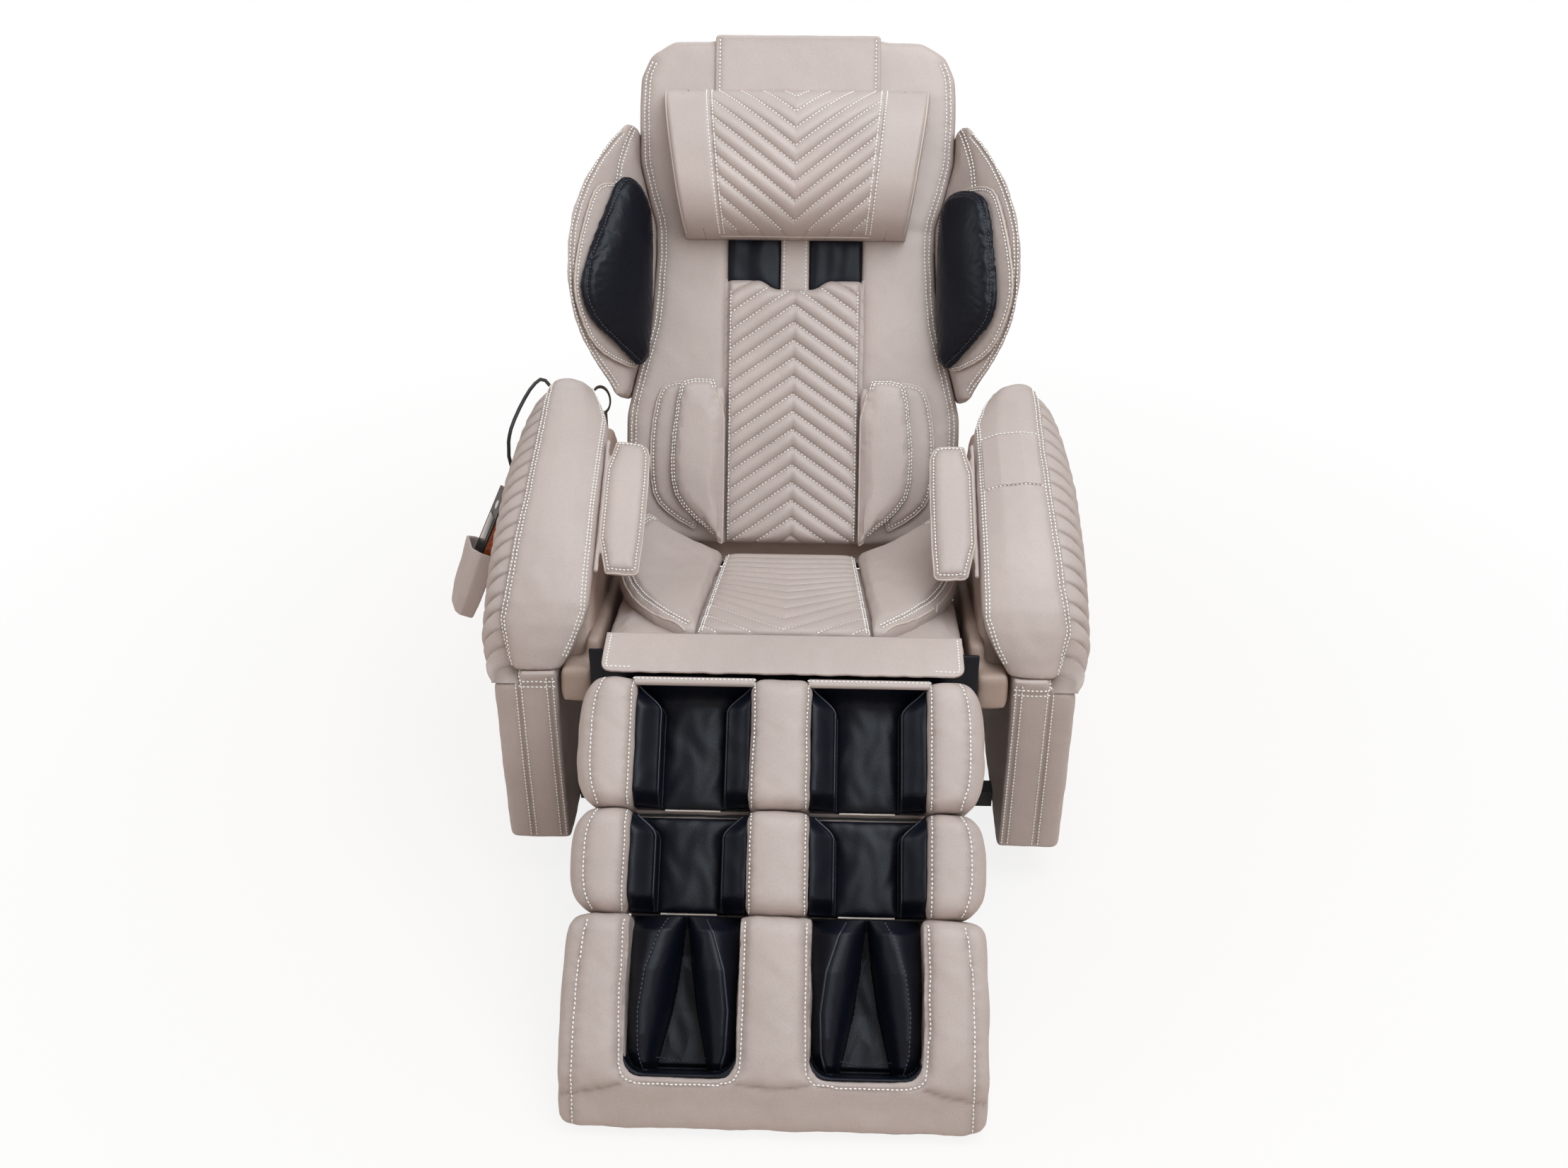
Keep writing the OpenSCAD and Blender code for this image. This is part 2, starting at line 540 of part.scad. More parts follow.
module remote_cable() color("#141417") {
    start = pocket_point([12, 2, remote_l + 10.2]);
    line = concat([start, start + pocket_up * 16], [[-462, 40, 560], [-459, 34, 582], [-457, 30, 600], [-452, 42, 620],
        [-440, 80, 642], [-430, 130, 650], [-424, 190, 636], [-418, 240, 590], [-414, 268, 530], [-410, 270, 470], [-404, 270, 440],
        [-397, 268, 426], [-391, 264, 421], [-390.6, 256.5, 421]]);
    tube_along(eased_line(line), cable_d);
}

// Webbing loop behind the left arm
module pull_loop() color(hide_dark) translate([-338, 259.2, 0]) {
    translate([-9, -3, 430]) cube([18, 3, 108]);
    translate([0, 0, 562]) rotate([90, 0, 0]) difference() {
        scale([0.62, 1, 1]) cylinder(h = 3, r = 28, $fn = 56);
        translate([0, 0, -1]) scale([0.62, 1, 1]) cylinder(h = 5, r = 23, $fn = 56);
    }
}

// Sewn slip pocket on top of the right arm
module phone_pocket() color(hide) {
    steps = [9, 10, 11, 12];
    cols = [1, 2, 3, 4];
    at = function (i, j, lift) let (q = rest_section(i / arm_steps)[j], p = arm_at(i, q[1] - lift)) [q[0], p[0], p[1]];
    slab([for (i = steps) [for (j = cols) at(i, j, 3.4)]], [for (i = steps) [for (j = cols) at(i, j, 0.2)]]);
}
// ---- Backrest ------------------------------------------------------------

knots = [12, 60, 187, 233, 262, 300, 340, 385, 440, 500, 540];
head_knots = [540.4, 550, 600, 655, 740, 798, back_len - 25, back_len - 8, back_len];
frame_y = back_pad_t + fit_gap;
rail_y = frame_y + 38;
rail_x = 84;

module back_frame() color(dark_paint) {
    in_back() {
        both_sides() {
            difference() {
                union() {
                    translate([176, frame_y, back_pivot_s]) cube([24, 24, 842]);
                    translate([176, back_pivot_y - 14, back_pivot_s - 14]) cube([36, 28, 28]);
                }
            }
            translate([rail_x, rail_y, 40]) rotate([0, 0, 0]) cylinder(h = 590, d = 14, $fn = 48);
            for (z = [36, 606]) translate([rail_x - 11, frame_y + 4, z]) cube([22, rail_y - frame_y + 8, 24]);
        }
        for (z = [36, 606, 804]) translate([-201, frame_y + 4, z]) cube([402, 20, 24]);
        translate([0, back_pivot_y, back_pivot_s]) rod_x(-212, 212, 28);
        translate([0, back_pivot_y, back_pivot_s]) rod_x(-skid_out - 4, skid_out + 4, pin_d);
    }
    crank(recline_axis, crank_rest, crank_r, 0);
}

module back_shell() color(hide_dark) in_back() {
    heights = [12, 60, 150, 262, 340, 440, 550, 655, 740, 798, back_len - 25, back_len - 6];
    loop = function (d) concat([for (z = heights) [back_half(z) - d, z + (z == 12 ? 0 : 0)]],
        [for (i = [len(heights) - 1:-1:0]) [-back_half(heights[i]) + d, heights[i]]]);
    outer = loop(2);
    rear = frame_y + shell_d;
    difference() {
        skin([for (l = [[0, frame_y], [0, frame_y + 44], [8, rear - 22], [24, rear - 8], [60, rear]])
            [for (p = inset(outer, l[0])) [p[0], l[1], max(12, p[1] - (p[1] > 800 ? l[0] * 0.4 : 0))]]]);
        skin([for (l = [[7, frame_y - 1], [7, frame_y + 44], [15, rear - 26], [30, rear - 14], [62, rear - 6]])
            [for (p = inset(outer, l[0])) [p[0], l[1], max(19, p[1] - (p[1] > 800 ? l[0] * 0.4 : 0))]]]);
        translate([-206, frame_y - 1, 0]) cube([412, 60, 26]);
    }
    for (x = [-220, 208]) translate([x, frame_y, 400]) cube([12, 8, 40]);
}

module back_side() color(hide) in_back()
    cushion(concat([[centre_half + 0.2, 12]], [for (z = knots) [back_half(z), z]],
        [[centre_half + 0.2, 540]]), 0, back_pad_t, 10);

module head_panel() color(hide) in_back() {
    cushion(concat([for (z = head_knots) [back_half(z), z]], [[80, back_len + 1], [-80, back_len + 1]],
        [for (i = [len(head_knots) - 1:-1:0]) [-back_half(head_knots[i]), head_knots[i]]]), 0, back_pad_t, 12);
    translate([-strap_half + 3, 0, back_len - 22]) cube([2 * strap_half - 6, 44, 27]);
}

module centre_panel() color(hide) in_back() translate([0, 26, 12])
    chevron_pad(centre_len - 12, centre_half, centre_half, 42, quilt_pitch, 0.7, quilt_rise, 22);

module neck_panel() in_back() {
    z0 = centre_len + 0.2;
    color(hide) translate([-centre_half, 10, z0]) cube([2 * centre_half, 16, 540 - z0]);
    color(hide) cushion([[-24, z0 + 1], [24, z0 + 1], [24, 539], [-24, 539]], 2, 11, 4);
    color(black_hide) both_sides()
        cushion([[25, z0 + 2], [centre_half - 2, z0 + 2], [centre_half - 2, 538], [25, 538]], 4, 11, 3, 3, 20);
}

module lumbar_inner() color(hide) in_back() {
    cushion(rounded([[115, 8], [178, 60], [205, 100], [208, 170], [196, 274], [180, 293], [113.4, 293], [113.4, 8]]),
        -30, -17.2, 6, 8, 30);
    translate([115.6, -18, 32]) cube([25, 18 - 0.2, 246]);
}

module lumbar_outer() color(hide) in_back()
    cushion(rounded([[150, 26], [205, 56], [234, 85], [242, 130], [241, 205], [229, 268], [209, 287], [150, 287]]),
        -10, -0.2, 4, 5, 26);

wing_knots = [256, 262, 280, 300, 320, 340, 385, 440, 500, 550, 600, 655, 690, 713];
wing_angle = 52;
function wing_reach(s) = lookup(s, [[256, 297], [270, 303], [285, 311], [306, 326], [335, 342], [370, 356],
    [415, 366], [470, 368], [520, 366], [560, 358], [600, 346], [640, 330], [680, 308], [705, 292], [713, 285]]);
// Depth of the wing's inner face in front of the backrest at x
function wing_face(x) = -1.2 + (x - 252.6) * tan(wing_angle);

module shoulder_wing() color(hide) in_back() {
    skin([for (s = wing_knots) let (h = back_half(s), e = wing_reach(s), xb = min(max(h + 4, 258), e - 9),
        xc = e - 6, nc = wing_face(xc))
        [for (p = [[h + 0.25, -6], [xb, wing_face(xb)], [mix(xb, xc, 0.5), wing_face(mix(xb, xc, 0.5))], [xc, nc],
            [e - 2, nc + 4], [e, nc - 6], [mix(xb, e, 0.85) + 1, nc * 0.62 - 8], [mix(h, e, 0.6) + 9, nc * 0.28 - 14],
            [h + min(26, 0.5 * (e - h) + 8), -36], [h + 0.25, -58]]) [p[0], -p[1], s]]]);
}

module in_wing() {
    in_back() translate([246, -4, 0]) rotate([0, 0, -wing_angle]) children();
}

module shoulder_backing() color(hide) in_wing()
    cushion(rounded([[14, 318], [30, 302], [95, 318], [128, 338], [152, 372], [168, 410], [170, 445], [160, 500],
        [140, 560], [124, 592], [100, 604], [50, 606], [20, 600], [14, 588]]), 0, 8.2, 3);

// Air pad of the shoulder: the outer end of its outline is given
module shoulder_pad(end) color(black_hide) in_wing()
    cushion(rounded(concat([[28, 302], [62, 320]], end, [[20, 600], [0, 560], [0, 330]])), -15, -0.2, 7, 9, 34);

module back_side_left() mirror([1, 0, 0]) back_side();
module back_side_right() back_side();
module lumbar_inner_left() mirror([1, 0, 0]) lumbar_inner();
module lumbar_inner_right() lumbar_inner();
module lumbar_outer_left() mirror([1, 0, 0]) lumbar_outer();
module lumbar_outer_right() lumbar_outer();
module shoulder_wing_left() mirror([1, 0, 0]) shoulder_wing();
module shoulder_wing_right() shoulder_wing();
module shoulder_backing_left() mirror([1, 0, 0]) shoulder_backing();
module shoulder_backing_right() shoulder_backing();
module shoulder_pad_left() mirror([1, 0, 0])
    shoulder_pad([[98, 341], [140, 368], [164, 402], [168, 438], [152, 488], [116, 562], [84, 616], [50, 622]]);
module shoulder_pad_right()
    shoulder_pad([[98, 345], [132, 372], [146, 404], [146, 436], [140, 500], [122, 574], [98, 596], [60, 604]]);

// ---- Pillow --------------------------------------------------------------

pillow_low = back_len - 335;

module pillow() color(hide) in_back() {
    columns = [-1, -0.97, -0.86, -0.68, -0.64, -0.43, -0.2, 0, 0.2, 0.43, 0.64, 0.68, 0.86, 0.97, 1];
    rows = 18;
    grid = [for (k = [0:rows]) [for (c = columns) let (v = k / rows, w = mix(pillow_low_half, pillow_top_half, v),
        vee = 160 * v * (1 - v) * (abs(c) > 0.66 ? (1 - abs(c)) / 0.34 : abs(c) / 0.66),
        z = pillow_low + pillow_h * v + vee,
        t = min(1, max(0, (z - pillow_low) / pillow_h)),
        swell = pow(max(0, 1 - pow(abs(2 * t - 1), 3)), 0.5),
        round_end = abs(c) > 0.99 ? 0.72 : abs(c) > 0.95 ? 0.93 : 1,
        sewn = abs(c) < 0.67 && k > 0 && k < rows ? (k % 2 == 0 ? -5 : 3) : 0)
        [c * w, k == 0 || k == rows ? 10 : 14 + (pillow_t - 14) * swell * round_end + sewn, z]]];
    slab([for (r = grid) [for (p = r) [p[0], -p[1], p[2]]]],
        [for (r = grid) [for (p = r) [p[0], -0.2, p[2]]]]);
}

module pillow_strap() color(hide) in_back() {
    z0 = pillow_low + pillow_h + 0.2;
    cushion([[-strap_half, z0], [strap_half, z0], [strap_half, back_len + 2], [-strap_half, back_len + 2]], -7, -0.2, 2);
    translate([0, -4.3, back_len + 2]) rod_x(-strap_half + 3, strap_half - 3, 8);
}

// ---- Roller mechanism ----------------------------------------------------

roller_z = 190;
roller_d = 50;
roller_y = 30 + roller_d / 2;

module roller_carriage() color("#3a3c41") in_back() difference() {
    union() {
        translate([-104, rail_y - 11, roller_z - 34]) cube([208, 22, 68]);
        both_sides() translate([62, roller_y - 12, roller_z - 13]) cube([12, rail_y - roller_y + 12, 26]);
        translate([-8, roller_y - 11, roller_z - 13]) cube([16, rail_y - roller_y + 11, 26]);
    }
    both_sides() translate([rail_x, rail_y, roller_z - 40]) cylinder(h = 80, d = 14.12, $fn = 48);
    translate([0, roller_y, roller_z]) rod_x(-80, 80, 10.12);
}

module massage_rollers() color("#c9b28a") in_back() translate([0, roller_y, roller_z]) {
    rod_x(-77, 77, 10);
    both_sides() translate([36, 0, 0]) rotate([0, 90, 0]) rotate_extrude($fn = 64)
        polygon([[0, -17], [roller_d / 2 - 8, -17], [roller_d / 2 - 2, -11], [roller_d / 2, -3],
            [roller_d / 2, 3], [roller_d / 2 - 2, 11], [roller_d / 2 - 8, 17], [0, 17]]);
}

// ---- Leg rest ------------------------------------------------------------

well_in = lobe_mid / 2;
well_out = well_in + well_w;
board_n = -100;

// Side view of one padded block: [y, z] loop from t0 to t1, rounded at both ends
function block_side(t0, t1, low, r0, r1) = concat(
    [for (a = [0:15:90]) [-(t0 + r0 - r0 * cos(a)), -r0 + r0 * sin(a)]],
    [for (a = [90:-15:0]) [-(t1 - r1 + r1 * cos(a)), -r1 + r1 * sin(a)]],
    [[-t1, low], [-t0, low]]);

module block(t0, t1, low, r0, r1) {
    difference() {
        union() {
            skin([for (e = [[-leg_half, 19], [-leg_half + 5, 9], [-leg_half + 14, 2], [-leg_half + 26, 0],
                [leg_half - 26, 0], [leg_half - 14, 2], [leg_half - 5, 9], [leg_half, 19]])
                [for (p = inset(block_side(t0, t1, 10 - well_d, r0, r1), e[1])) [e[0], p[0], p[1]]]]);
            across_x(-well_out - 4, well_out + 4) polygon([[-t0 - 1, -70], [-t1 + 1, -70], [-t1 + 1, low], [-t0 - 1, low]]);
        }
        both_sides() across_x(well_in, well_out)
            polygon([[-t0 + 1, -well_d], [-t1 - 1, -well_d], [-t1 - 1, 1], [-t0 + 1, 1]]);
    }
}

module leg_frame() color(dark_paint) in_leg() {
    translate([-well_out - 3, -470, board_n - 12]) cube([2 * well_out + 6, 470 - 26, 11.8]);
    both_sides() {
        translate([skid_in - 14, -(leg_pivot_t + 26), board_n - 34]) cube([11, 52, 26]);
        translate([0, -leg_pivot_t, leg_pivot_n]) rod_x(skid_in - 14, skid_in - 3, 26);
        translate([150, -470, board_n - 26]) cube([26, 400, 15]);
        translate([0, -leg_pivot_t, leg_pivot_n]) rod_x(skid_in - 14, skid_out + 4, pin_d);
    }
    leg_crank_arm();
}

module leg_crank_arm() {
    rotate([-leg_fall, 0, 0]) translate(-leg_top) crank(leg_axis, 21, leg_r, leg_drive_x);
}

module calf_upper() color(hide) in_leg() difference() {
    block(0, calf1_len - 0.2, board_n, 30, 22);
    ear_room();
}

// Room for the hinge posts and ears behind the outer lobes
module ear_room() {
    both_sides() translate([skid_in - 15, -(leg_pivot_t + 30), -140]) cube([60, 100, 140 - 79]);
}

module calf_lower() color(hide) in_leg() block(calf1_len + 0.2, calf1_len + calf2_len - 4, board_n, 24, 24);

// Black lining of the calf channels: a floor pad and two side air pads in each
module calf_liners() color(black_hide) in_leg() {
    rows = [[6, calf1_len - 5], [calf1_len + 6, calf1_len + calf2_len - 8]];
    for (side = [-1, 1], r = rows) translate([side * (well_in + well_w / 2), 0, 0]) {
        half = well_w / 2 - 0.2;
        flat = [[-half, -r[0]], [half, -r[0]], [half, -r[1]], [-half, -r[1]]];
        levels = [for (l = [[26, 12], [12, 10], [3, 7], [0, 4], [0, 0.2]]) [l[0], l[1] - well_d]];
        skin([for (l = levels) [for (p = inset(flat, l[0])) [p[0], p[1], l[1]]]]);
        for (m = [-1, 1]) mirror([m > 0 ? 0 : 1, 0, 0]) {
            wall = [[-r[0] - 4, 8 - well_d], [-r[0] - 6, -34], [-r[0] - 26, -8], [-r[1] + 26, -8], [-r[1] + 6, -34],
                [-r[1] + 4, 8 - well_d]];
            side_cushion(rounded(wall), half, half - 15, 5, 12, 16);
        }
    }
}

foot_t = calf1_len + calf2_len - 3.6;
foot_seam = 562;
foot_front = -44;
foot_end = foot_t + foot_len + 22;
opening_end = 552;

foot_middle = [-(foot_t + foot_end) / 2, -60];
foot_side = concat([for (a = [0:15:90]) [-(foot_t + 26 - 26 * cos(a)), -26 + 26 * sin(a)]],
    [[-foot_seam + 14, 0], [-foot_seam + 2, -2], [-foot_seam - 6, -8], [-foot_end + 2, foot_front + 5],
    [-foot_end, foot_front - 2], [-foot_end + 5, foot_front - 11], [-foot_end + 78, -115], [-foot_end + 84, -118],
    [-foot_t, -118]]);

module foot_cover() color(hide) in_leg() difference() {
    skin([for (e = [[-leg_half, 0.88], [-leg_half + 5, 0.94], [-leg_half + 14, 0.98], [-leg_half + 28, 1],
        [leg_half - 28, 1], [leg_half - 14, 0.98], [leg_half - 5, 0.94], [leg_half, 0.88]])
        [for (p = foot_side) [e[0], mix(foot_middle[0], p[0], e[1]), mix(foot_middle[1], p[1], e[1])]]]);
    both_sides() {
        across_x(well_in + 6, well_out - 6) polygon([[-foot_t + 1, 1], [-foot_t + 1, -90], [-opening_end + 24, -90],
            [-opening_end + 10, -84], [-opening_end + 2, -70], [-opening_end, -50], [-opening_end + 2, -12], [-opening_end - 6, 1]]);
    }
    across_x(-well_out - 3.4, well_out + 3.4) polygon([[-foot_t + 1, board_n + 0.2], [-472, board_n + 0.2], [-472, -130], [-foot_t + 1, -130]]);
    both_sides() across_x(149, 177) polygon([[-foot_t + 1, board_n], [-472, board_n], [-472, -130], [-foot_t + 1, -130]]);
    translate([0, -foot_roller_t, 0]) both_sides() across_x(well_in + 26, well_out - 26)
        polygon([[-13, -84], [13, -84], [13, -98.6], [-13, -98.6]]);
    translate([0, -foot_roller_t, -99 + 10]) rod_x(well_in + 21, well_out - 21, 8.12);
    mirror([1, 0, 0]) translate([0, -foot_roller_t, -99 + 10]) rod_x(well_in + 21, well_out - 21, 8.12);
}

foot_roller_t = 430;

module foot_rollers() color("#4a4c50") in_leg() translate([0, -foot_roller_t, -89]) both_sides() {
    rod_x(well_in + 22, well_out - 22, 8);
    for (x = [well_in + 34, well_in + 66, well_in + 98]) rod_x(x, x + 22, 17);
}

// Black boots in the foot wells, a sole with a window for the rollers and two air pads
module foot_liners() color(black_hide) in_leg() both_sides() translate([well_in + well_w / 2, 0, 0]) {
    half = well_w / 2 - 6.2;
    for (m = [0, 1]) mirror([m, 0, 0]) {
        wall = [[-foot_t - 8, -81], [-foot_t - 10, -40], [-foot_t - 30, -12], [-opening_end + 40, -6],
            [-opening_end + 8, -20], [-opening_end + 10, -64], [-opening_end + 30, -81]];
        side_cushion(rounded(wall), half, half - 10, 4, 16, 22);
    }
    for (t = [[foot_t + 4, foot_roller_t - 22], [foot_roller_t + 22, opening_end - 28]])
        translate([-half + 10, -t[1], -89.8]) cube([2 * half - 20, t[1] - t[0], 8]);
}

// ---- Drives and electrics ------------------------------------------------

module crank(axis, rest, radius, x) {
    translate([x, axis[1], axis[2]]) rotate([rest, 0, 0]) translate([-7, -14, -radius - 14]) cube([14, 28, radius + 11]);
    translate([x, axis[1] + radius * sin(rest), axis[2] - radius * cos(rest)]) rod_x(-17, 17, 12);
}

slot_w = 13;

// Push rod with a slotted fork around the crank pin; the rod leaves towards -y
module drive_rod(reach, drop) {
    difference() {
        union() {
            translate([0, -36, 0]) rotate([90, 0, 0]) cylinder(h = reach - 36, d = 20, $fn = 48);
            translate([-17, -42, -28]) cube([34, 64, 46]);
        }
        translate([-7.6, -34, -29]) cube([15.2, 60, 48]);
        translate([-18, -slot_w / 2, -drop - slot_w / 2]) cube([36, slot_w, drop + slot_w]);
    }
}

back_reach = 214;
leg_reach = 200;
back_drop = crank_r * (1 - cos(crank_rest));
leg_drop = leg_r * (1 - cos(21));
leg_drive_x = 110;

module back_drive_rod() color(steel) translate(back_crank) drive_rod(back_reach, back_drop);
module leg_drive_rod() color(steel) translate(leg_crank + [leg_drive_x, 0, 0]) mirror([0, 1, 0]) drive_rod(leg_reach, leg_drop);

// Linear drive: sleeve around the rod, gear case, motor can and feet on the base tray
module drive_motor(sleeve, bore) {
    difference() {
        union() {
            rotate([90, 0, 0]) cylinder(h = sleeve, d = 38, $fn = 56);
            translate([-30, -sleeve, -32]) cube([60, 46, 58]);
            translate([0, -sleeve + 23, -92]) cylinder(h = 62, d = 46, $fn = 56);
        }
        translate([0, 1, 0]) rotate([90, 0, 0]) cylinder(h = bore + 1, d = 20.14, $fn = 48);
    }
}

module drive_feet(x, y, z) {
    for (s = [-38, 30]) translate([x + s, y, tube]) cube([8, 30, z - tube]);
}

module back_drive_motor() color("#3a3c41") {
    translate([0, back_crank[1] - crank_r * 2 * sin(crank_rest) - 48, back_crank[2]]) {
        drive_motor(170, 166);
    }
    drive_feet(0, back_crank[1] - crank_r * 2 * sin(crank_rest) - 48 - 165, back_crank[2] + 10);
}

module leg_drive_motor() color("#3a3c41") {
    y = leg_crank[1] + 48;
    translate([leg_drive_x, y, leg_crank[2]]) mirror([0, 1, 0]) drive_motor(170, 160);
    drive_feet(leg_drive_x, y + 135, leg_crank[2] + 10);
}

module air_pump() color("#44474c") {
    translate([-196, -190, tube]) cube([116, 150, 84]);
    translate([-138, -60, tube + 84 + 18]) rotate([90, 0, 0]) cylinder(h = 110, d = 44, $fn = 56);
    for (y = [-170, -80]) translate([-150, y, tube + 83]) cube([24, 12, 16]);
    for (y = [-175, -150, -125, -100]) translate([-200, y, tube + 60]) rotate([0, 90, 0]) cylinder(h = 12, d = 9, $fn = 32);
}

module power_inlet() color("#26272a") difference() {
    translate([60, skid_rear - tube, tube]) cube([70, tube, 52]);
    translate([80, skid_rear - 12, tube + 14]) cube([30, 20, 24]);
}

// ---- Sub-parts -----------------------------------------------------------

base_frame();
transport_wheels();
seat_pan();
seat_base_cushion();
seat_centre_pad();
seat_wing_left();
seat_wing_right();
seat_flap();
arm_core_left();
arm_core_right();
arm_inner_pad_left();
arm_inner_pad_right();
arm_top_pad_left();
arm_top_pad_right();
arm_side_quilt_left();
arm_side_quilt_right();
forearm_flap_left();
forearm_flap_right();
remote_pocket();
phone_pocket();
remote_body();
remote_trim();
remote_key();
remote_cable();
pull_loop();
back_drive_motor();
back_drive_rod();
leg_drive_motor();
leg_drive_rod();
air_pump();
power_inlet();
back_frame();
back_shell();
back_side_left();
back_side_right();
head_panel();
centre_panel();
neck_panel();
lumbar_inner_left();
lumbar_inner_right();
lumbar_outer_left();
lumbar_outer_right();
shoulder_wing_left();
shoulder_wing_right();
shoulder_backing_left();
shoulder_backing_right();
shoulder_pad_left();
shoulder_pad_right();
pillow();
pillow_strap();
roller_carriage();
massage_rollers();
leg_frame();
calf_upper();
calf_lower();
calf_liners();
foot_cover();
foot_liners();
foot_rollers();
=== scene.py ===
# %% [markdown]
# # A massage chair, dressed cell by cell
# The chair's frame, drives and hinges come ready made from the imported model. This script
# gives it what a workshop would add last: leather covers with sewn channels, stitching,
# piping, paint and plastic. Each step first says what the piece is on the real chair.
#
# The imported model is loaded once. Its nodes are fixed: they may get a finish or be hidden
# behind a fuller piece, but they are never moved.

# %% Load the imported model
import json
import math

import bmesh
import bpy
import numpy as np
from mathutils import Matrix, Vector
from mathutils.bvhtree import BVHTree
from mathutils.kdtree import KDTree


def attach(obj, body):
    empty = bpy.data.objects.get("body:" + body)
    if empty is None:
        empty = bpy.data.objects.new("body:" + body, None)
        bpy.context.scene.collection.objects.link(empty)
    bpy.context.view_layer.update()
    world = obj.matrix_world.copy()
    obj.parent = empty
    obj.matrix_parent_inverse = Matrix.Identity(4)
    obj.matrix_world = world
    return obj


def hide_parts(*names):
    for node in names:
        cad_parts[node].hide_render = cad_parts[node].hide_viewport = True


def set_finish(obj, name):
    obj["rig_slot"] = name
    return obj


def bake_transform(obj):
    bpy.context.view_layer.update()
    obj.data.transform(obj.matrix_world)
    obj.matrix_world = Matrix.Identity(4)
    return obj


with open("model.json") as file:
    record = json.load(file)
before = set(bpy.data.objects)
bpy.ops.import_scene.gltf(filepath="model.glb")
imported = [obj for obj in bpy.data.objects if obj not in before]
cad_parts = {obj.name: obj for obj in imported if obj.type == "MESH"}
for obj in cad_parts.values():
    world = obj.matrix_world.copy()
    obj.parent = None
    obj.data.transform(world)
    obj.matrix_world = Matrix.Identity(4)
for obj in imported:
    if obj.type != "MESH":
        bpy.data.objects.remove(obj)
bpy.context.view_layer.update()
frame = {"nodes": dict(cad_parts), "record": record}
nodes = frame["nodes"]
node_body = {n: b for b, members in frame["record"]["behaviour"]["bodies"].items() for n in members}
node_slot = {s["node"]: s["material_slot"] for s in frame["record"]["subparts"]}

# %% [markdown]
# Covers are easiest to describe in the frame of the part that carries them: along the
# leaning backrest, across the seat, down the leg rest. A place is a 4 x 4 matrix that
# takes a piece's own millimetres to metres in the chair's frame.

# %% Places on the chair
MM = 0.001
BACK_LEAN, SEAT_RISE, LEG_FALL, WING_ANGLE = 30.0, 13.0, 41.0, 52.0
SEAT_JOINT = (0.0, 61.0, 378.0)
LEG_TOP = (0.0, -403.0, 453.0)
SIDES = (("right", 1), ("left", -1))


def moved(x, y, z):
    m = np.eye(4)
    m[:3, 3] = x, y, z
    return m


def turned(axis, degrees):
    c, s = math.cos(math.radians(degrees)), math.sin(math.radians(degrees))
    m = np.eye(4)
    i, j = {"x": (1, 2), "y": (2, 0), "z": (0, 1)}[axis]
    m[i, i], m[i, j], m[j, i], m[j, j] = c, -s, s, c
    return m


CHAIR = np.diag([MM, MM, MM, 1.0])
MIRROR = np.diag([-1.0, 1.0, 1.0, 1.0])
BACK = CHAIR @ moved(*SEAT_JOINT) @ turned("x", -BACK_LEAN)
SEAT = CHAIR @ moved(*SEAT_JOINT) @ turned("x", -SEAT_RISE)
LEG = CHAIR @ moved(*LEG_TOP) @ turned("x", LEG_FALL)
WING = BACK @ moved(246, -4, 0) @ turned("z", -WING_ANGLE)


def on_side(place, sign):
    """A place on the right of the chair as it is, or the same place on the left."""
    return place if sign > 0 else MIRROR @ place


def put(place, points):
    points = np.asarray(points, float).reshape(-1, 3)
    return points @ place[:3, :3].T + place[:3, 3]


def taken(place, points):
    """The way back: metres in the chair's frame to a place's own millimetres."""
    back = np.linalg.inv(place)
    return np.asarray(points, float).reshape(-1, 3) @ back[:3, :3].T + back[:3, 3]


def heading(place, direction):
    d = place[:3, :3] @ np.asarray(direction, float)
    return d / np.linalg.norm(d)


print("places: chair, backrest, seat, leg rest and shoulder wing")

# %% [markdown]
# Colours, light and thread are all node trees. A node is made, set and linked in one line
# with a few helpers, so a tree reads as a list of what it does.

# %% Node helpers


def group_socket(tree, name, kind="NodeSocketFloat", value=None, out=False):
    socket = tree.interface.new_socket(name=name, in_out="OUTPUT" if out else "INPUT", socket_type=kind)
    if value is not None:
        socket.default_value = value


def node(tree, kind, inputs=None, **settings):
    """A shader or geometry node, its settings, and its inputs as values or links."""
    made = tree.nodes.new(kind)
    for key, value in settings.items():
        setattr(made, key, value)
    for key, value in (inputs or {}).items():
        if isinstance(value, bpy.types.NodeSocket):
            tree.links.new(value, made.inputs[key])
        else:
            made.inputs[key].default_value = value
    return made


def maths(tree, operation, a, b=0.0):
    return node(tree, "ShaderNodeMath", {0: a, 1: b}, operation=operation).outputs[0]


def blend_colours(tree, amount, a, b, mode="MIX"):
    return node(tree, "ShaderNodeMix", {0: amount, 6: a, 7: b}, data_type="RGBA", blend_type=mode).outputs[2]


def object_place(tree):
    """Coordinates that stay with the piece, in metres."""
    return tree.nodes.new("ShaderNodeTexCoord").outputs["Object"]


def noise(tree, place, scale, detail, **more):
    inputs = {"Vector": place, "Scale": scale, "Detail": detail, **more}
    return node(tree, "ShaderNodeTexNoise", inputs).outputs["Fac"]


def link(obj):
    """Puts a new object in the scene."""
    bpy.context.scene.collection.objects.link(obj)
    return obj


# %% [markdown]
# The camera stands in front of the chair, a little over two metres away and well above it,
# looking down.

# %% Camera
CAMERA_AT = (0.059, -2.2186, 1.7769)
CAMERA_DOWN, CAMERA_YAW = 32.73, 1.76
LENS, SENSOR = 35.97, 36.0

camera = link(bpy.data.objects.new("camera", bpy.data.cameras.new("camera")))
camera.data.lens, camera.data.sensor_width = LENS, SENSOR
camera.data.sensor_fit = "HORIZONTAL"
camera.location = CAMERA_AT
camera.rotation_euler = (math.radians(90 - CAMERA_DOWN), 0, math.radians(CAMERA_YAW))
bpy.context.scene.camera = camera
bpy.context.scene.view_settings.view_transform = "Standard"
print("camera", CAMERA_AT)

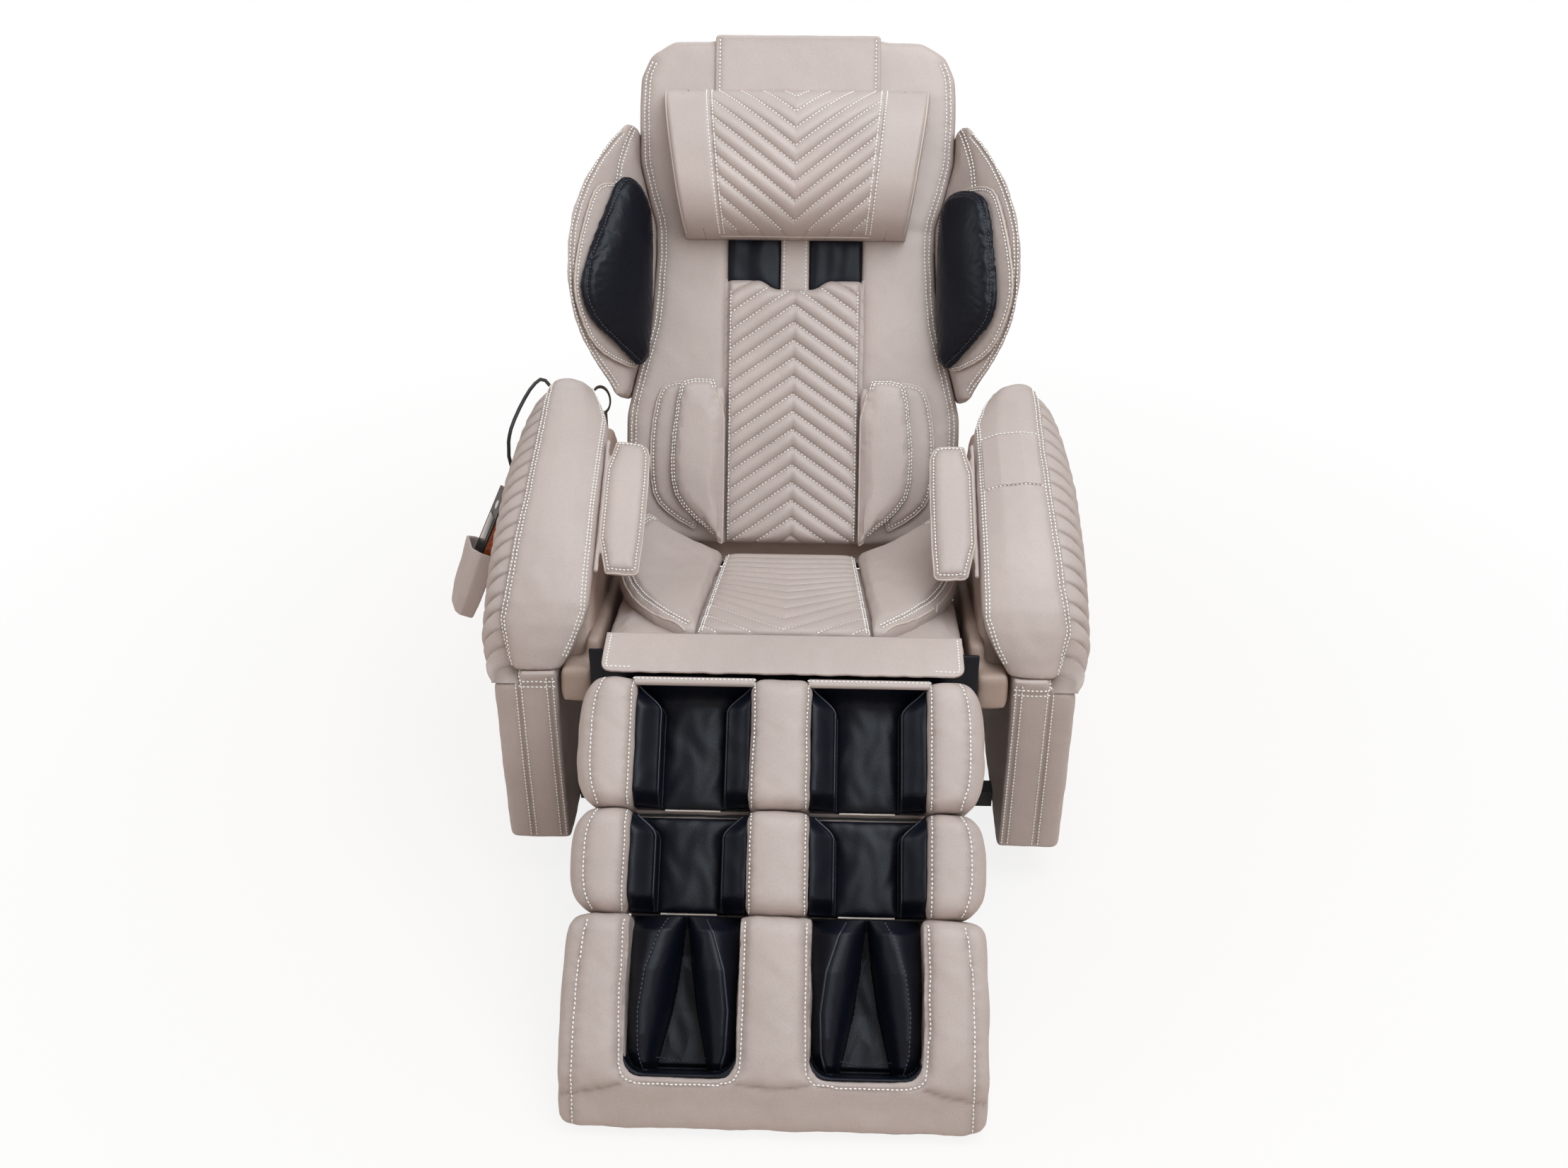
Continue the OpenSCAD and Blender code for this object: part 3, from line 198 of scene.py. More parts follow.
# %% [markdown]
# The light is soft and even, as in a studio tent: a pale, slightly warm world and four large,
# slightly cool area lamps, the strongest above the chair. The camera sees the world as white.

# %% Lamps and world
LAMP_COLOUR = (0.82, 0.93, 1.0)
WORLD_COLOUR, AMBIENT = (1.0, 0.925, 0.88, 1), 0.47
WHITE = (1, 1, 1, 1)
# Place, aim, size in metres and power in watts
LAMPS = {
    "lamp_above": ((0.9, -0.6, 3.1), (0, 0, 0.5), 2.4, 68.0),
    "lamp_front": ((0.9, -3.0, 2.6), (0, 0, 0.5), 2.0, 22.0),
    "lamp_side": ((-2.6, -0.4, 2.4), (0, 0, 0.6), 1.8, 16.0),
    "lamp_rear": ((-0.6, 3.0, 2.2), (0, 0, 0.6), 2.0, 18.0),
}
for lamp_name, (spot, aim, size, watts) in LAMPS.items():
    lamp = link(bpy.data.objects.new(lamp_name, bpy.data.lights.new(lamp_name, "AREA")))
    lamp.data.size, lamp.data.energy, lamp.data.color = size, watts, LAMP_COLOUR
    lamp.location = spot
    lamp.rotation_euler = (Vector(aim) - Vector(spot)).to_track_quat("-Z", "Y").to_euler()


def seen_directly(tree):
    """1 for rays from the camera or through glass, else 0."""
    path = tree.nodes.new("ShaderNodeLightPath").outputs
    return maths(tree, "MAXIMUM", path["Is Camera Ray"], path["Is Transmission Ray"])


world = bpy.data.worlds.new("studio")
bpy.context.scene.world = world
world.use_nodes = True
tree = world.node_tree
sky = tree.nodes["Background"]
sky.inputs["Color"].default_value = WORLD_COLOUR
sky.inputs["Strength"].default_value = AMBIENT
backdrop = node(tree, "ShaderNodeBackground", {"Color": WHITE})
mix = node(tree, "ShaderNodeMixShader", {0: seen_directly(tree), 1: sky.outputs[0], 2: backdrop.outputs[0]})
tree.links.new(mix.outputs[0], tree.nodes["World Output"].inputs[0])
print("lamps", len(LAMPS))

# %% [markdown]
# The floor takes the chair's shadow. A matt paint is mixed with plain white glow, which only
# the camera sees, and the glow takes over as the floor runs away from the chair.

# %% Floor
FLOOR_SIZE, FLOOR_DROP = 24, 0.001
FLOOR_PAINT, FLOOR_ROUGH = (0.76, 0.67, 0.61, 1), 0.9
GLOW_NEAR, GLOW_FAR = (0.7, 0.84), (1.9, 1.0)

bpy.ops.mesh.primitive_plane_add(size=FLOOR_SIZE, location=(0, 0, -FLOOR_DROP))
floor = bpy.context.object
floor.name = "floor"
floor_paint = bpy.data.materials.new("floor_paint")
floor_paint.use_nodes = True
tree = floor_paint.node_tree
matt = tree.nodes["Principled BSDF"]
matt.inputs["Base Color"].default_value = FLOOR_PAINT
matt.inputs["Roughness"].default_value = FLOOR_ROUGH
away = node(tree, "ShaderNodeVectorMath", {0: object_place(tree)}, operation="LENGTH").outputs["Value"]
glow_range = {1: GLOW_NEAR[0], 2: GLOW_FAR[0], 3: GLOW_NEAR[1], 4: GLOW_FAR[1]}
fade = node(tree, "ShaderNodeMapRange", {0: away, **glow_range})
share = maths(tree, "MULTIPLY", seen_directly(tree), fade.outputs[0])
glow = tree.nodes.new("ShaderNodeEmission")
mix = node(tree, "ShaderNodeMixShader", {0: share, 1: matt.outputs[0], 2: glow.outputs[0]})
tree.links.new(mix.outputs[0], tree.nodes["Material Output"].inputs[0])
floor.data.materials.append(floor_paint)
print("floor", FLOOR_SIZE, "m wide")

# %% [markdown]
# ## Finishes
# Chair leather is not one flat colour. It has a fine pebble grain and a slow drift in tone
# from hide to hide. On top of that, painted shade darkens it in seams, valleys and hollows,
# read from a mask that each cover keeps. The grain and the drift are one node group that both
# leathers use with their own values. It reads object coordinates, so the grain has a real size
# and needs no unwrapping.

# %% The leather group


def toned(tree, colour, cloud, low, high):
    """A colour made darker and lighter by a noise, from low to high times its value."""
    tone = node(tree, "ShaderNodeMapRange", {0: cloud, 1: 0.3, 2: 0.7, 3: low, 4: high}).outputs[0]
    grey = node(tree, "ShaderNodeCombineColor", {0: tone, 1: tone, 2: tone}).outputs[0]
    return blend_colours(tree, 1.0, colour, grey, "MULTIPLY")


def leather_group():
    tree = bpy.data.node_groups.new("leather_grain", "ShaderNodeTree")
    group_socket(tree, "Hide", "NodeSocketColor")
    group_socket(tree, "Dark", "NodeSocketColor")
    group_socket(tree, "Pebble", value=420.0)
    group_socket(tree, "Roughness", value=0.45)
    group_socket(tree, "Colour", "NodeSocketColor", out=True)
    group_socket(tree, "Rough", out=True)
    group_socket(tree, "Height", out=True)
    take = tree.nodes.new("NodeGroupInput").outputs
    give = tree.nodes.new("NodeGroupOutput").inputs
    place = object_place(tree)
    pebble = node(tree, "ShaderNodeTexVoronoi", {"Vector": place, "Scale": take["Pebble"]},
                  feature="DISTANCE_TO_EDGE").outputs["Distance"]
    cell = node(tree, "ShaderNodeMapRange", {0: pebble, 1: 0.0, 2: 0.22}).outputs[0]
    fine, drift = noise(tree, place, 900.0, 2.0), noise(tree, place, 5.5, 4.0)
    creases = noise(tree, place, 34.0, 5.0, Distortion=0.8)
    # The mask of painted shade in seams, valleys and hollows, which each cover keeps.
    fold_shade = node(tree, "ShaderNodeAttribute", attribute_name="fold_shade").outputs["Fac"]

    pore = maths(tree, "MULTIPLY", maths(tree, "SUBTRACT", 1.0, cell), 0.16)
    pored = blend_colours(tree, pore, toned(tree, take["Hide"], drift, 0.93, 1.06), take["Dark"])
    # Painted shade: the colour is blended towards the dark one where that mask is high.
    colour = blend_colours(tree, maths(tree, "MULTIPLY", fold_shade, 0.6), pored, take["Dark"])
    uneven = maths(tree, "MULTIPLY", maths(tree, "SUBTRACT", drift, 0.5), 0.16)
    rough = maths(tree, "ADD", take["Roughness"], uneven)
    rough = maths(tree, "ADD", rough, maths(tree, "MULTIPLY", fold_shade, 0.12))
    height = maths(tree, "ADD", maths(tree, "MULTIPLY", cell, 0.45), maths(tree, "MULTIPLY", fine, 0.25))
    height = maths(tree, "ADD", height, maths(tree, "MULTIPLY", creases, 1.6))
    for label, value in (("Colour", colour), ("Rough", rough), ("Height", height)):
        tree.links.new(value, give[label])
    return tree


LEATHER = leather_group()
print("leather group:", len(LEATHER.nodes), "nodes")

# %% [markdown]
# The leathers then differ only in their values: a warm taupe hide with a soft sheen, a copy
# of it darkened as painted shade for the linings, the gusset and the rear, and a black one that
# is smoother and less shiny.

# %% Leathers


def srgb(r, g, b):
    """A colour as picked on a screen, 0 to 255, in linear values."""
    def one(v):
        v /= 255.0
        return v / 12.92 if v <= 0.04045 else ((v + 0.055) / 1.055) ** 2.4
    return (one(r), one(g), one(b), 1.0)


def material(name):
    made = bpy.data.materials.new(name)
    made.use_nodes = True
    return made, made.node_tree, made.node_tree.nodes["Principled BSDF"]


def raised(tree, skin, strength, distance, height):
    """Turns a height into small relief on a finish."""
    relief = node(tree, "ShaderNodeBump", {"Strength": strength, "Distance": distance, "Height": height})
    tree.links.new(relief.outputs[0], skin.inputs["Normal"])


def leather(name, hide, dark, pebble, rough, bump, shine=0.5):
    made, tree, skin = material(name)
    skin.inputs["Specular IOR Level"].default_value = shine
    values = {"Hide": hide, "Dark": dark, "Pebble": pebble, "Roughness": rough}
    grain = node(tree, "ShaderNodeGroup", values, node_tree=LEATHER).outputs
    tree.links.new(grain["Colour"], skin.inputs["Base Color"])
    tree.links.new(grain["Rough"], skin.inputs["Roughness"])
    raised(tree, skin, bump, 0.0006, grain["Height"])
    return made


# The second colour of each leather is that of its pores and of the painted shade in its seams and valleys.
TAUPE = leather("taupe_leather", srgb(193, 177, 170), srgb(100, 74, 60), 460.0, 0.46, 0.35)
# The same taupe hide darkened: painted shade for linings, the gusset and the rear shell.
SHADE = leather("taupe_leather_shaded", srgb(170, 147, 134), srgb(98, 76, 64), 460.0, 0.5, 0.35)
BLACK = leather("black_leather", srgb(12, 15, 26), srgb(5, 5, 8), 380.0, 0.36, 0.3, 0.26)
print("leathers:", TAUPE.name, SHADE.name, BLACK.name)

# %% [markdown]
# Sewing thread, welt cord, painted steel, ground steel, plastics and the handset's burl
# trim are smaller finishes. Each still gets its own grain: twist in the thread, orange peel
# in the paint, figure in the wood.

# %% Thread, metal, plastic and wood


def plain(name, colour, rough, metal=0.0, scale=300.0, bump=0.15, spots=0.06, coat=0.0):
    """A finish with a fine texture: colour and roughness vary a little, and so does height."""
    made, tree, skin = material(name)
    place = object_place(tree)
    fine, broad = noise(tree, place, scale, 3.0), noise(tree, place, 9.0, 3.0)
    tree.links.new(toned(tree, colour, broad, 1 - spots, 1 + spots), skin.inputs["Base Color"])
    rough_range = {1: 0.3, 2: 0.7, 3: rough * 0.85, 4: min(1, rough * 1.15)}
    varied = node(tree, "ShaderNodeMapRange", {0: fine, **rough_range})
    tree.links.new(varied.outputs[0], skin.inputs["Roughness"])
    raised(tree, skin, bump, 0.0004, fine)
    skin.inputs["Metallic"].default_value = metal
    skin.inputs["Coat Weight"].default_value = coat
    return made


THREAD = plain("cream_thread", srgb(252, 249, 243), 0.7, scale=1400.0, bump=0.3)
DARK_THREAD = plain("black_thread", srgb(58, 60, 72), 0.6, scale=1400.0, bump=0.4)
WELT = plain("taupe_welt", srgb(200, 184, 173), 0.5, scale=700.0)
BLACK_WELT = plain("black_welt", srgb(34, 37, 48), 0.3, scale=700.0)
STEEL_PAINT = plain("black_steel_paint", srgb(40, 41, 44), 0.45, scale=420.0, bump=0.25)
GROUND_STEEL = plain("ground_steel", (0.5, 0.51, 0.52, 1), 0.28, metal=1.0, scale=260.0)
CAST_CASE = plain("motor_case", srgb(58, 60, 64), 0.5, scale=600.0, bump=0.4)
TYRE_RUBBER = plain("wheel_rubber", srgb(34, 34, 36), 0.75, scale=500.0, bump=0.35)
BLACK_PLASTIC = plain("black_plastic", srgb(30, 30, 32), 0.5, scale=900.0, bump=0.3)
GLOSS_PLASTIC = plain("handset_gloss", srgb(14, 14, 18), 0.34, scale=200.0, bump=0.03)
PALE_PLASTIC = plain("key_plastic", srgb(222, 222, 218), 0.35, scale=500.0, bump=0.05)
WEBBING = plain("grey_webbing", srgb(104, 92, 86), 0.85, scale=1100.0, bump=0.8)
GLASS_BLACK = plain("screen_glass", srgb(24, 28, 36), 0.08, scale=100.0, bump=0.02, coat=1.0)


def burl():
    made, tree, skin = material("burl_trim")
    place = object_place(tree)
    swirl = noise(tree, place, 90.0, 6.0, Distortion=2.4)
    eyes = node(tree, "ShaderNodeTexVoronoi", {"Vector": place, "Scale": 170.0}).outputs["Distance"]
    figure = maths(tree, "ADD", maths(tree, "MULTIPLY", swirl, 0.8), maths(tree, "MULTIPLY", eyes, 0.5))
    ramp = node(tree, "ShaderNodeValToRGB", {0: figure})
    dark, light = ramp.color_ramp.elements
    dark.color, dark.position = srgb(58, 16, 8), 0.35
    light.color, light.position = srgb(176, 82, 40), 0.75
    tree.links.new(ramp.outputs["Color"], skin.inputs["Base Color"])
    skin.inputs["Roughness"].default_value = 0.22
    skin.inputs["Coat Weight"].default_value = 0.8
    return made


BURL = burl()
print("finishes:", len(bpy.data.materials))

# %% [markdown]
# ## How a cover is made
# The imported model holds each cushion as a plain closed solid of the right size. A leather
# cover pulls that shape into soft corners. So a cover starts as a copy of the solid, is
# remeshed into even small faces, and is relaxed until its edges turn over softly.

# %% Covers from the solids
MERGE = 1e-5


def new_piece(name, points, faces):
    mesh = bpy.data.meshes.new(name)
    mesh.from_pydata([tuple(p) for p in np.asarray(points, float)], [], [tuple(f) for f in faces])
    mesh.update()
    return link(bpy.data.objects.new(name, mesh))


def settle(obj):
    """Turns what the modifiers show into the piece's own mesh."""
    shown = obj.evaluated_get(bpy.context.evaluated_depsgraph_get())
    mesh = bpy.data.meshes.new_from_object(shown)
    obj.modifiers.clear()
    obj.data = mesh
    return obj


def tidy_normals(obj, merge=MERGE):
    bm = bmesh.new()
    bm.from_mesh(obj.data)
    bmesh.ops.remove_doubles(bm, verts=bm.verts, dist=merge)
    bmesh.ops.recalc_face_normals(bm, faces=bm.faces)
    bm.to_mesh(obj.data)
    bm.free()
    return obj


def softened(obj, voxel, rounds):
    """Even faces of voxel mm, relaxed by a number of rounds."""
    grid = obj.modifiers.new("grid", "REMESH")
    grid.mode, grid.voxel_size = "VOXEL", voxel * MM
    relax = obj.modifiers.new("relax", "SMOOTH")
    relax.factor, relax.iterations = 0.5, rounds
    return settle(obj)


def cover(node_name, name, voxel=4.5, rounds=14):
    obj = link(bpy.data.objects.new(name, nodes[node_name].data.copy()))
    obj.data.materials.clear()
    return softened(tidy_normals(obj), voxel, rounds)


def smooth_shaded(obj):
    for polygon in obj.data.polygons:
        polygon.use_smooth = True
    return obj


def per_vertex(obj, key):
    values = np.empty(len(obj.data.vertices) * 3)
    obj.data.vertices.foreach_get(key, values)
    return values.reshape(-1, 3)


def points_of(obj):
    return per_vertex(obj, "co")


def normals_of(obj):
    return per_vertex(obj, "normal")


def set_points(obj, co):
    obj.data.vertices.foreach_set("co", np.asarray(co, float).ravel())
    obj.data.update()
    return obj


def surface(obj):
    return BVHTree.FromPolygons([v.co for v in obj.data.vertices], [p.vertices for p in obj.data.polygons])


# %% [markdown]
# Some pads have an air bag or springy foam inside and look blown up. Cloth with pressure does
# that to a cover. The new shape is kept, but no point may move past a cap, or the pad would
# leave the room that it has.

# %% Swelling a cover
SWELL_FRAMES = 20


def inflate(obj, cap, pressure=4.0, shrink=2.5):
    """Swells a cover by up to cap mm, after drawing it in by shrink mm."""
    before = points_of(obj)
    set_points(obj, before - normals_of(obj) * shrink * MM)
    bag = obj.modifiers.new("bag", "CLOTH")
    bag.settings.quality = 6
    bag.settings.use_pressure = True
    bag.settings.uniform_pressure_force = pressure
    bag.settings.effector_weights.gravity = 0.0
    bag.point_cache.frame_start, bag.point_cache.frame_end = 1, SWELL_FRAMES
    for frame_number in range(1, SWELL_FRAMES + 1):
        bpy.context.scene.frame_set(frame_number)
    settle(obj)
    bpy.context.scene.frame_set(1)
    move = points_of(obj) - before
    far = np.linalg.norm(move, axis=1, keepdims=True)
    set_points(obj, before + move * np.minimum(1.0, cap * MM / np.maximum(far, 1e-9)))
    print(f"{obj.name}: swelled, largest move {float(far.max()) / MM:.1f} mm")
    return obj


# %% [markdown]
# A seam is a line drawn on the flat pattern and then laid on the cover: it is cast on to the
# surface from outside. The cover is drawn in along it, narrow and deep at the thread and wide
# and shallow beside it, with small puckers across it. How near each point lies to a seam is
# kept in an attribute, and the leather is darkened with it: painted shade in the seam.

# %% Lines on a surface
CAST_START, CAST_REACH = 160.0, 560.0


def smooth_line(points, cuts=2):
    """Cuts the corners of an open line a few times over. Its ends stay."""
    line = np.asarray(points, float)
    for _ in range(cuts):
        here, ahead = line[:-1], line[1:]
        cut = np.stack([here * 0.75 + ahead * 0.25, here * 0.25 + ahead * 0.75], axis=1)
        line = np.vstack([line[:1], cut.reshape(-1, line.shape[1]), line[-1:]])
    return line


def run_of(line):
    """How far along a line each of its points lies."""
    return np.concatenate([[0], np.cumsum(np.linalg.norm(np.diff(line, axis=0), axis=1))])


def points_at(line, run, at):
    return np.stack([np.interp(at, run, column) for column in np.transpose(line)], -1)


def even_line(points, step=2.0, closed=False):
    line = np.asarray(points, float)
    if closed:
        line = np.vstack([line, line[:1]])
    run = run_of(line)
    count = max(2, int(round(run[-1] / step)) + 1)
    out = points_at(line, run, np.linspace(0, run[-1], count))
    return out[:-1] if closed else out


def drawn_in(loop, d):
    """A closed flat loop moved inwards by d, corner by corner."""
    loop = np.asarray(loop, float)
    prev, nxt = np.roll(loop, 1, axis=0), np.roll(loop, -1, axis=0)
    area = np.sum(loop[:, 0] * nxt[:, 1] - nxt[:, 0] * loop[:, 1])
    sign = 1.0 if area > 0 else -1.0

    def inward(v):
        v = v / np.maximum(1e-6, np.linalg.norm(v, axis=1, keepdims=True))
        return sign * np.stack([-v[:, 1], v[:, 0]], axis=1)
    before, after = inward(loop - prev), inward(nxt - loop)
    scale = np.maximum(0.6, 1 + np.sum(before * after, axis=1, keepdims=True))
    return loop + d * (before + after) / scale


def cast(tree, rays, reach):
    """Where rays meet a surface, and its normals turned to face them."""
    where, facing = [], []
    for origin, ray in rays:
        hit, normal, _, _ = tree.ray_cast(origin, ray, reach)
        if hit is not None:
            where.append(hit)
            facing.append(normal if normal.dot(ray) < 0 else -normal)
    return np.array(where).reshape(-1, 3), np.array(facing).reshape(-1, 3)


def lay(tree, place, points, toward, closed=False, start=CAST_START):
    """Drops 3D points, in a place's millimetres, on to a surface. Gives points and normals."""
    ray = Vector(heading(place, toward))
    rays = [(Vector(p) - ray * start * MM, ray) for p in put(place, points)]
    return *cast(tree, rays, CAST_REACH * MM), closed


# %% [markdown]
# Sewn leather is never even. Between the seams it has slack, which a smooth ripple stands in
# for, and across a seam it puckers.

# %% Seams


def ripple(co, size, seed=0.0):
    """Smooth pseudo-random height from -1 to 1 with features about size metres across."""
    k = 2 * math.pi / size
    x, y, z = co[:, 0] * k + seed, co[:, 1] * k + 1.7 * seed, co[:, 2] * k - seed
    a = np.sin(x + 1.3 * np.sin(0.7 * y + 0.5) + 0.8 * np.sin(0.9 * z)) * np.cos(0.8 * y + 0.6 * np.sin(x))
    b = np.sin(0.8 * z + 1.1 * np.sin(0.6 * x - 0.4)) * np.cos(0.55 * y - 0.7 * z + seed)
    return 0.5 * (a + b)


def grid_ripple(x, y, z, size, seed):
    """The same over a grid of points."""
    return ripple(np.stack([x, y, z], -1).reshape(-1, 3), size, seed).reshape(np.shape(x))


def mark_fold_shade(obj, fold_shade=()):
    """Keeps the amount of painted shade for each point, for a grid's front points, or 0 for all of them."""
    values = np.zeros(len(obj.data.vertices), np.float32)
    values[:np.size(fold_shade)] = np.ravel(fold_shade)
    layer = obj.data.attributes.get("fold_shade") or obj.data.attributes.new("fold_shade", "FLOAT", "POINT")
    layer.data.foreach_set("value", values)


PINCH = 2.6


def sew(obj, seams, depth=2.2, pull=2.0, reach=13.0, pucker=0.5, slack=0.5, seed=0.0):
    """Draws a cover in along its seams, gives the leather a little slack and keeps painted shade along the
    seams. Sizes in mm.
    """
    co, no = points_of(obj), normals_of(obj)
    shift = slack * MM * (0.6 * ripple(co, 0.11, seed) + 0.4 * ripple(co, 0.045, seed + 2))
    fold_shade = np.zeros(len(co))
    lines = [s for s in seams if len(s[0]) > 1]
    if lines:
        every = np.vstack([s[0] for s in lines])
        along = np.concatenate([np.arange(len(s[0])) * 2.0 for s in lines])
        tree = KDTree(len(every))
        for i, p in enumerate(every):
            tree.insert(p, i)
        tree.balance()
        low, high = every.min(0) - reach * 3 * MM, every.max(0) + reach * 3 * MM
        near = np.nonzero(np.all((co > low) & (co < high), axis=1))[0]
        for i in near:
            _, k, d = tree.find(co[i])
            d /= MM
            if d > reach * 3:
                continue
            wide = math.exp(-(d / reach) ** 2)
            thin = math.exp(-(d / PINCH) ** 2)
            wave = math.sin(along[k] * 0.42 + 1.6 * math.sin(along[k] * 0.11 + seed))
            shift[i] -= MM * (depth * thin + pull * wide + pucker * wave * wide * (1 - 0.6 * thin))
            # Painted shade along the seam, strongest at the thread.
            fold_shade[i] = max(0.75 * thin, 0.3 * wide)
    set_points(obj, co + no * shift[:, None])
    mark_fold_shade(obj, fold_shade)
    return obj


# %% [markdown]
# Stitches and welts follow the seams, so Geometry Nodes make them. One tree walks along
# each line at the pitch of the sewing machine and sets a small thread loop at every step.
# Another sweeps a round cord for the piping. The result is turned into a plain mesh, one for
# each region of a body, and the modifier is gone before the piece rides on anything.

# %% Stitching and piping trees


def geometry_tree(name, sockets):
    tree = bpy.data.node_groups.new(name, "GeometryNodeTree")
    group_socket(tree, "Geometry", "NodeSocketGeometry")
    for label, kind, value in sockets:
        group_socket(tree, label, kind, value)
    group_socket(tree, "Geometry", "NodeSocketGeometry", out=True)
    return tree, tree.nodes.new("NodeGroupInput").outputs, tree.nodes.new("NodeGroupOutput")


def stitching_tree():
    tree, take, give = geometry_tree("stitching", [
        ("Pitch", "NodeSocketFloat", 0.006), ("Thread", "NodeSocketFloat", 0.0011),
        ("Finish", "NodeSocketMaterial", None)])
    steps = node(tree, "GeometryNodeCurveToPoints", {"Curve": take["Geometry"], "Length": take["Pitch"]},
                 mode="LENGTH").outputs
    loop = node(tree, "GeometryNodeMeshUVSphere", {"Segments": 5, "Rings": 4, "Radius": 1.0})
    long_way = maths(tree, "MULTIPLY", take["Pitch"], 0.36)
    shape = node(tree, "ShaderNodeCombineXYZ", {0: take["Thread"], 1: take["Thread"], 2: long_way}).outputs[0]
    sized = node(tree, "GeometryNodeTransform", {"Geometry": loop.outputs[0], "Scale": shape}).outputs[0]
    sewn = node(tree, "GeometryNodeInstanceOnPoints",
                {"Points": steps["Points"], "Instance": sized, "Rotation": steps["Rotation"]})
    real = node(tree, "GeometryNodeRealizeInstances", {0: sewn.outputs[0]})
    done = node(tree, "GeometryNodeSetMaterial", {"Geometry": real.outputs[0], "Material": take["Finish"]})
    tree.links.new(done.outputs[0], give.inputs[0])
    return tree


def piping_tree():
    tree, take, give = geometry_tree("piping", [
        ("Radius", "NodeSocketFloat", 0.002), ("Finish", "NodeSocketMaterial", None)])
    ring_values = {"Resolution": 8, "Radius": take["Radius"]}
    ring = node(tree, "GeometryNodeCurvePrimitiveCircle", ring_values).outputs[0]
    cord = node(tree, "GeometryNodeCurveToMesh",
                {"Curve": take["Geometry"], "Profile Curve": ring, "Fill Caps": True})
    done = node(tree, "GeometryNodeSetMaterial", {"Geometry": cord.outputs[0], "Material": take["Finish"]})
    tree.links.new(done.outputs[0], give.inputs[0])
    return tree


STITCHING, PIPING = stitching_tree(), piping_tree()


def poly_line(curve, points, closed=False):
    """Adds a line of straight pieces to a curve."""
    spline = curve.splines.new("POLY")
    spline.points.add(len(points) - 1)
    spline.points.foreach_set("co", np.hstack([points, np.ones((len(points), 1))]).ravel())
    spline.use_cyclic_u = closed


def grown(name, lines, tree, values):
    """Runs a tree along lines, each (points, closed), and returns a plain mesh object."""
    curve = bpy.data.curves.new(name, "CURVE")
    curve.dimensions = "3D"
    for points, closed in lines:
        poly_line(curve, points, closed)
    holder = link(bpy.data.objects.new(name, curve))
    growth = holder.modifiers.new("growth", "NODES")
    growth.node_group = tree
    ids = {item.name: item.identifier for item in tree.interface.items_tree if item.in_out == "INPUT"}
    for label, value in values.items():
        growth[ids[label]] = value
    shown = holder.evaluated_get(bpy.context.evaluated_depsgraph_get())
    mesh = bpy.data.meshes.new_from_object(shown)
    bpy.data.objects.remove(holder)
    return link(bpy.data.objects.new(name, mesh))


print("trees:", STITCHING.name, PIPING.name)

# %% [markdown]
# Seams are gathered while the covers are made, by the name of the piece that their thread
# ends up in. All the thread of a region is then sewn in one go at the end.

# %% Gathering thread and welt
SINGLE_ROW, DOUBLE_ROW = (0.0,), (-3.6, 3.6)
THREAD_LIFT, ROW_STEP = 0.8, 0.003
thread_lines, welt_lines = {}, {}


def gather(lines, region, points, closed=False):
    lines.setdefault(region, []).append((points, closed))


def even_row(place, row):
    return even_line(put(place, row), ROW_STEP)


def thread_row(region, place, row):
    """Thread along points given in a place's millimetres."""
    gather(thread_lines, region, even_row(place, row))


def beside(seam, offset):
    """The line of a seam moved sideways over the surface by offset mm."""
    co, no, closed = seam
    ahead = np.roll(co, -1, axis=0) - np.roll(co, 1, axis=0)
    if not closed:
        ahead[0], ahead[-1] = co[1] - co[0], co[-1] - co[-2]
    side = np.cross(no, ahead)
    side /= np.maximum(1e-9, np.linalg.norm(side, axis=1, keepdims=True))
    return co + side * offset * MM


def stitch(region, tree, seam, offsets=DOUBLE_ROW):
    """Puts rows of thread beside a seam, on the sewn surface."""
    if len(seam[0]) < 3:
        print("  no surface under a seam of", region)
        return
    for offset in offsets:
        row = []
        for p in beside(seam, offset):
            hit, normal, _, _ = tree.find_nearest(Vector(p))
            row.append(p if hit is None else np.array(hit) + np.array(normal) * THREAD_LIFT * MM)
        gather(thread_lines, region, np.array(row), seam[2])


def pipe(region, seam):
    if len(seam[0]) > 2:
        gather(welt_lines, region, seam[0], seam[2])


def sew_and_stitch(obj, seams, region, offsets=DOUBLE_ROW, **sewing):
    """Sews seams into a cover and puts their thread on the sewn surface."""
    sew(obj, seams, **sewing)
    tree = surface(obj)
    for seam in seams:
        stitch(region, tree, seam, offsets)


# %% [markdown]
# Every finished cover is signed off the same way: its leather, the body it moves with, the
# solid it stands for and the finish slot of that solid.

# %% Signing off a cover


def sign_off(obj, node_name, finish, also=()):
    obj.data.materials.clear()
    obj.data.materials.append(finish)
    smooth_shaded(obj)
    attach(obj, node_body[node_name])
    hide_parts(node_name, *also)
    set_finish(obj, node_slot[node_name])
    print(f"{obj.name}: {len(obj.data.polygons)} faces on {node_body[node_name]}")
    return obj


def pair(text):
    """Label, sign and node name of a piece on both sides of the chair."""
    return [(label, sign, f"{text}_{label}") for label, sign in SIDES]

# %% [markdown]
# ## The quilted panels
# A quilted panel is foam between leather and backing, sewn through along parallel lines.
# Between two lines the leather stands up as a round channel, and at a line it is pulled to
# a sharp valley. That shape follows a rule, so these panels are grids whose height is
# computed, and their thread runs exactly along the valleys.

# %% Grids with a back


